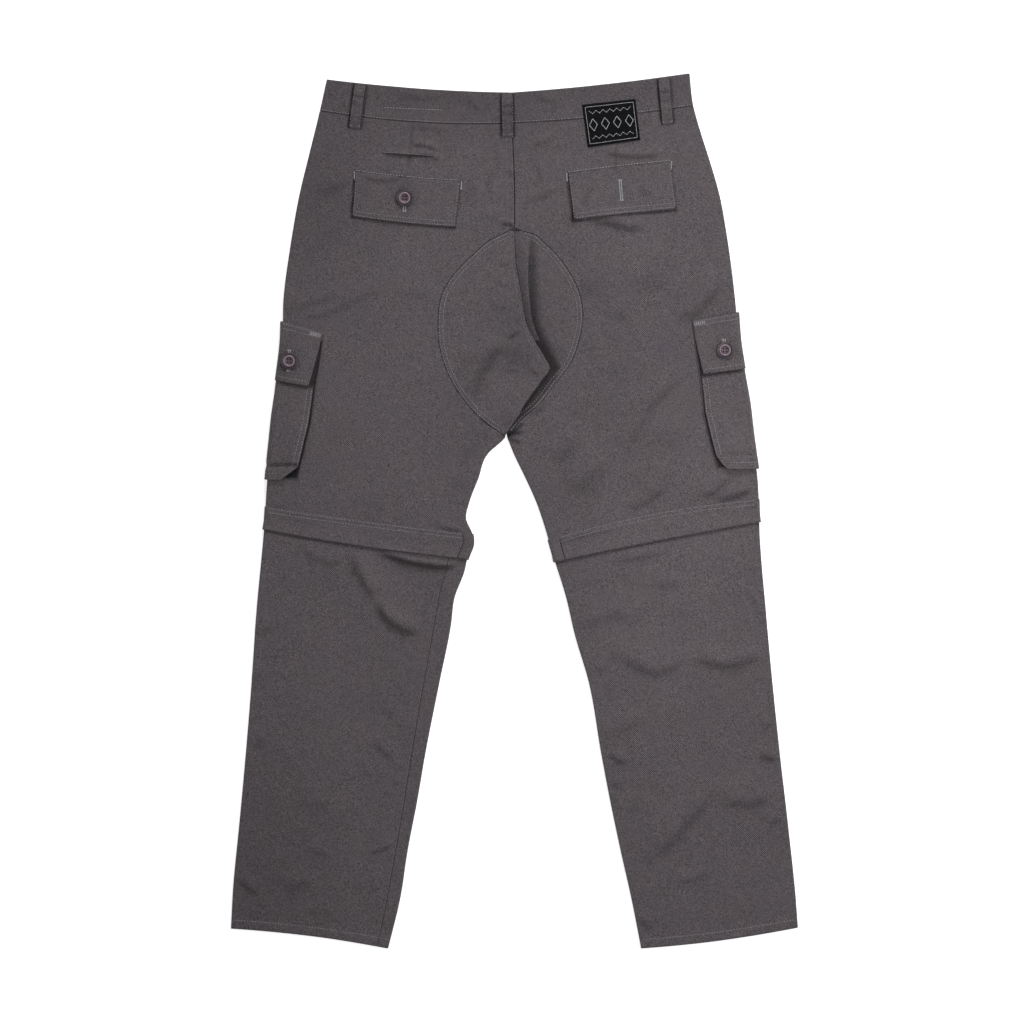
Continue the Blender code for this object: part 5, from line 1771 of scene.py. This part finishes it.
def flap_row(side, u0, v0, u1, v1):
    """Points on a back flap's face between two pairs of shares across and down it."""
    count = 60
    u, v = np.linspace(u0, u1, count), np.linspace(v0, v1, count)
    tl, tr, br, bl = (np.array(c, float) for c in BACK_FLAPS[side])
    plan = (tl * (1 - u[:, None]) + tr * u[:, None]) * (1 - v[:, None])
    plan += (bl * (1 - u[:, None]) + br * u[:, None]) * v[:, None]
    plan[:, 1] -= 4 * FLAP_DIP[side] * u * (1 - u)
    return lay_on_back(plan[None], (back_flap_off(side, u, v) + FLAP_CLOTH)[None])[0]


def stitch_back_flaps():
    thread = Thread("stitches_back_flaps")
    bright = Thread("stitches_back_flap_tops", "bright_thread")
    for side, corners in BACK_FLAPS.items():
        tl, tr = (np.array(c, float) for c in corners[:2])
        u = np.linspace(0, 1, 60)[:, None]
        above = tl * (1 - u) + tr * u + [0, 1.6]
        above[:, 1] -= (4 * FLAP_DIP[side] * u * (1 - u))[:, 0]
        bright.plan_row(above, width=0.55)
        thread.grid_row(flap_row(side, 0.02, 0.965, 0.98, 0.965))
        thread.grid_row(flap_row(side, 0.03, 0.875, 0.97, 0.875))
        for u_side in (0.012, 0.988):
            thread.grid_row(flap_row(side, u_side, 0.03, u_side, 0.97), width=0.6)
        for corner, sign in ((tl, -1), (tr, 1)):
            low = corner + [sign * 0.8, -9.5]
            bright.bartack(corner + [sign * 1.4, 0], low, 0.3, 2.0)
    thread.make()
    bright.make()


def stitch_cargo():
    thread = Thread("stitches_cargo")
    bar = Thread("stitches_cargo_bars", "bright_thread")
    for side in SIDES:
        for v in (0.035, 0.115):
            s = np.linspace(flap_back_edge(side, v) - 1.5, 1.0, 40)
            thread.grid_row(cargo_flap_point(side, s, v, FLAP_CLOTH))
        s = np.linspace(flap_back_edge(side, 0.92) - 4, 1.0, 40)
        thread.grid_row(cargo_flap_point(side, s, 0.92, FLAP_CLOTH))
        v = np.linspace(0.36, 0.90, 90)
        for inset in (1.5, 6.8):
            s = face_back(side, v) - inset
            y = pocket_top(side)(s) * (1 - v) + CARGO[side]["bottom"] * v
            thread.grid_row(wrap(side, s, y, pocket_off(side, s, y) + CLOTH), width=0.65)
        s = np.linspace(face_back(side, 1) - CORNER_ROUND[side] - 4, 1.0, 30)
        thread.grid_row(pocket_point(side, s, 0.955, CLOTH))
        for v in (0.055, 0.075, 0.095):
            reach = flap_back_edge(side, v)
            s = np.linspace(reach - 1.2, reach - 15, 24)
            bar.grid_row(cargo_flap_point(side, s, v, FLAP_CLOTH), pitch=2.0, gap=0.3, width=0.8)
    bar.make()
    thread.make()


def stitch_bands():
    thread = Thread("stitches_bands")
    for side in SIDES:
        for step in (-1.8, -6.6):
            thread.plan_row(cross_plan("band_top", side, 0.02, 0.95, step), BAND_OFF + CLOTH)
    thread.make()


def buttonhole(thread, centre, way, length, off):
    """A worked buttonhole: two rows of fine stitches and a bar at each end."""
    way = np.array(way, float) / np.linalg.norm(way)
    side_way = np.array([way[1], -way[0]])
    for sign in (-1, 1):
        begin = np.array(centre) + side_way * sign * 1.15 - way * length / 2
        thread.bartack(begin, begin + way * length, off, 1.5)
    for sign in (-1, 1):
        middle = np.array(centre) + way * sign * length / 2
        thread.bartack(middle - side_way * 1.8, middle + side_way * 1.8, off, 2.0)


def add_buttons_and_holes():
    thread = Thread("buttonholes", "bright_thread")
    back_off = LAYER_GAP + FLAP_CLOTH + 0.35
    seats = [add_button("button_back_left", BACK_BUTTON, back_off + 0.35)]
    for centre, lean, length, further in BACK_HOLES:
        buttonhole(thread, centre, (lean, -1), length, back_off + further)
    for side, word in SIDES.items():
        off = CARGO_FLAP_OFF + FLAP_CLOTH + 0.5
        centre = CARGO[side]["button"]
        seats.append(add_button(f"button_cargo_{word}", centre, off + 0.5))
        buttonhole(thread, (centre[0] - 0.4, centre[1] + 0.5), (0.04 * side, -1), 25, off)
    add_button_thread(seats)
    thread.make()


# The label's own pattern: a ruled border, a row of lozenges and two rows of chevrons

def label_plan(u, v):
    """The plan point at two shares across and down the label."""
    tl, tr, br, bl = (np.array(c, float) for c in LABEL)
    return (tl * (1 - u) + tr * u) * (1 - v) + (bl * (1 - u) + br * u) * v


def label_line(thread, start, end, width=0.9):
    """A line of stitches between two places on the label, given as shares across and down it."""
    (u0, v0), (u1, v1) = start, end
    length = np.linalg.norm(label_plan(u1, v1) - label_plan(u0, v0))
    t = np.linspace(0, 1, max(3, int(length / 2)))
    plan = np.array([label_plan(u0 + (u1 - u0) * k, v0 + (v1 - v0) * k) for k in t])
    thread.plan_row(plan, LABEL_OFF + CLOTH - 0.05, pitch=1.4, gap=0.0, width=width)


def add_label_pattern():
    thread = Thread("label_pattern", "label_thread")
    border = ((0.05, 0.07), (0.95, 0.07), (0.95, 0.93), (0.05, 0.93))
    for start, end in zip(border, border[1:] + border[:1]):
        label_line(thread, start, end, 0.7)
    for u in np.linspace(0.16, 0.84, 4):
        lozenge = [(u, 0.36), (u + 0.075, 0.5), (u, 0.64), (u - 0.075, 0.5)]
        for start, end in zip(lozenge, lozenge[1:] + lozenge[:1]):
            label_line(thread, start, end, 1.0)
    for v, rise in ((0.17, 0.07), (0.83, -0.07)):
        points = [(u, v + (rise if k % 2 else 0)) for k, u in enumerate(np.linspace(0.11, 0.89, 13))]
        for start, end in zip(points, points[1:]):
            label_line(thread, start, end)
    piece = thread.make()


ZIP_MIDDLE = (ZIP_START + ZIP_END) / 2
TEETH = 150
TOOTH_HALF = 1.6
TOOTH_REACH = 0.62


def add_zip_teeth():
    """Two rows of small teeth round each leg, down the middle of the tape."""
    for side, word in SIDES.items():
        upper = cross("band_top", side, ZIP_MIDDLE + TOOTH_HALF)
        lower = cross("band_top", side, ZIP_MIDDLE - TOOTH_HALF)
        span = ring_span(side, upper, lower, 3)
        outer = span.grid(ring_columns(1.0, 3.0), 0.15)
        thread = Thread(f"zip_teeth_{word}", "zip")
        rows = [resample(outer[row], TEETH) for row in (0, 2)]
        for first, (path, facing) in enumerate((rows, rows[::-1])):
            root, tip = path[first::2], facing[first::2]
            square = np.tile([0, 0, 1.0], (len(root), 1))
            thread.bars(root, root + (tip - root) * TOOTH_REACH, square, 1.1, 0.8, 4)
        piece = thread.make()


# Surroundings

FLOOR_REACH = 6.0
CAMERA_AT = (-3.0, -0.7)
FRAME_WIDTH = 1228.8
SHARP_LEVEL = 6.0
LENS = 100.0
SENSOR = 36.0


def add_camera():
    camera = bpy.data.objects.new("camera", bpy.data.cameras.new("camera"))
    camera.data.sensor_width = SENSOR
    camera.data.lens = LENS
    distance = FRAME_WIDTH * LENS / SENSOR + SHARP_LEVEL
    camera.location = Vector((CAMERA_AT[0], CAMERA_AT[1], distance)) * MM
    bpy.context.scene.collection.objects.link(camera)
    bpy.context.scene.camera = camera


def add_floor():
    """A pale floor that glows a little, so that it comes out white as in the photograph."""
    mesh = bpy.data.meshes.new("floor")
    reach = FLOOR_REACH
    corners = [(-reach, -reach, 0), (reach, -reach, 0), (reach, reach, 0), (-reach, reach, 0)]
    mesh.from_pydata(corners, [], [(0, 1, 2, 3)])
    floor = bpy.data.objects.new("floor", mesh)
    floor.location.z = -0.0002
    made, _, shader = new_material("pale_floor", 0.9, Specular_IOR_Level=0.1)
    shader.inputs["Base Color"].default_value = (0.93, 0.93, 0.93, 1)
    shader.inputs["Emission Color"].default_value = (1, 1, 1, 1)
    shader.inputs["Emission Strength"].default_value = FLOOR_GLOW
    mesh.materials.append(made)
    bpy.context.scene.collection.objects.link(floor)


# Soft lights: name, place, size and power in watts
LIGHTS = [
    ("light_overhead", (0.85, 0.0, 1.35), 1.1, 12.5),
    ("light_top", (0.3, 2.0, 1.05), 0.8, 26.0),
    ("light_left", (-1.9, 0.4, 1.6), 1.2, 5.0),
]
WORLD_STRENGTH = 0.30
FLOOR_GLOW = 0.60


def add_light():
    for name, place, size, power in LIGHTS:
        lamp = bpy.data.lights.new(name, "AREA")
        lamp.shape = "SQUARE"
        lamp.size = size
        lamp.energy = power
        light = bpy.data.objects.new(name, lamp)
        light.location = place
        light.rotation_euler = (-Vector(place)).to_track_quat("-Z", "Y").to_euler()
        bpy.context.scene.collection.objects.link(light)
    world = bpy.data.worlds.new("soft_sky")
    bpy.context.scene.world = world
    world.use_nodes = True
    world.node_tree.nodes["Background"].inputs["Color"].default_value = (1, 1, 1, 1)
    world.node_tree.nodes["Background"].inputs["Strength"].default_value = WORLD_STRENGTH
    bpy.context.scene.view_settings.view_transform = "Standard"


add_camera()
add_floor()
add_light()
add_upper_panels()
add_seat_patches()
add_lower_legs()
add_zips_and_bands()
add_waistband()
add_back_flaps_and_label()
add_belt_loops()
for half in SIDES:
    add_cargo_gusset(half)
    add_cargo_pocket(half)
    add_cargo_flap(half)
add_buttons_and_holes()
stitch_panels()
stitch_waist()
stitch_back_flaps()
stitch_cargo()
stitch_bands()
add_label_pattern()
add_zip_teeth()
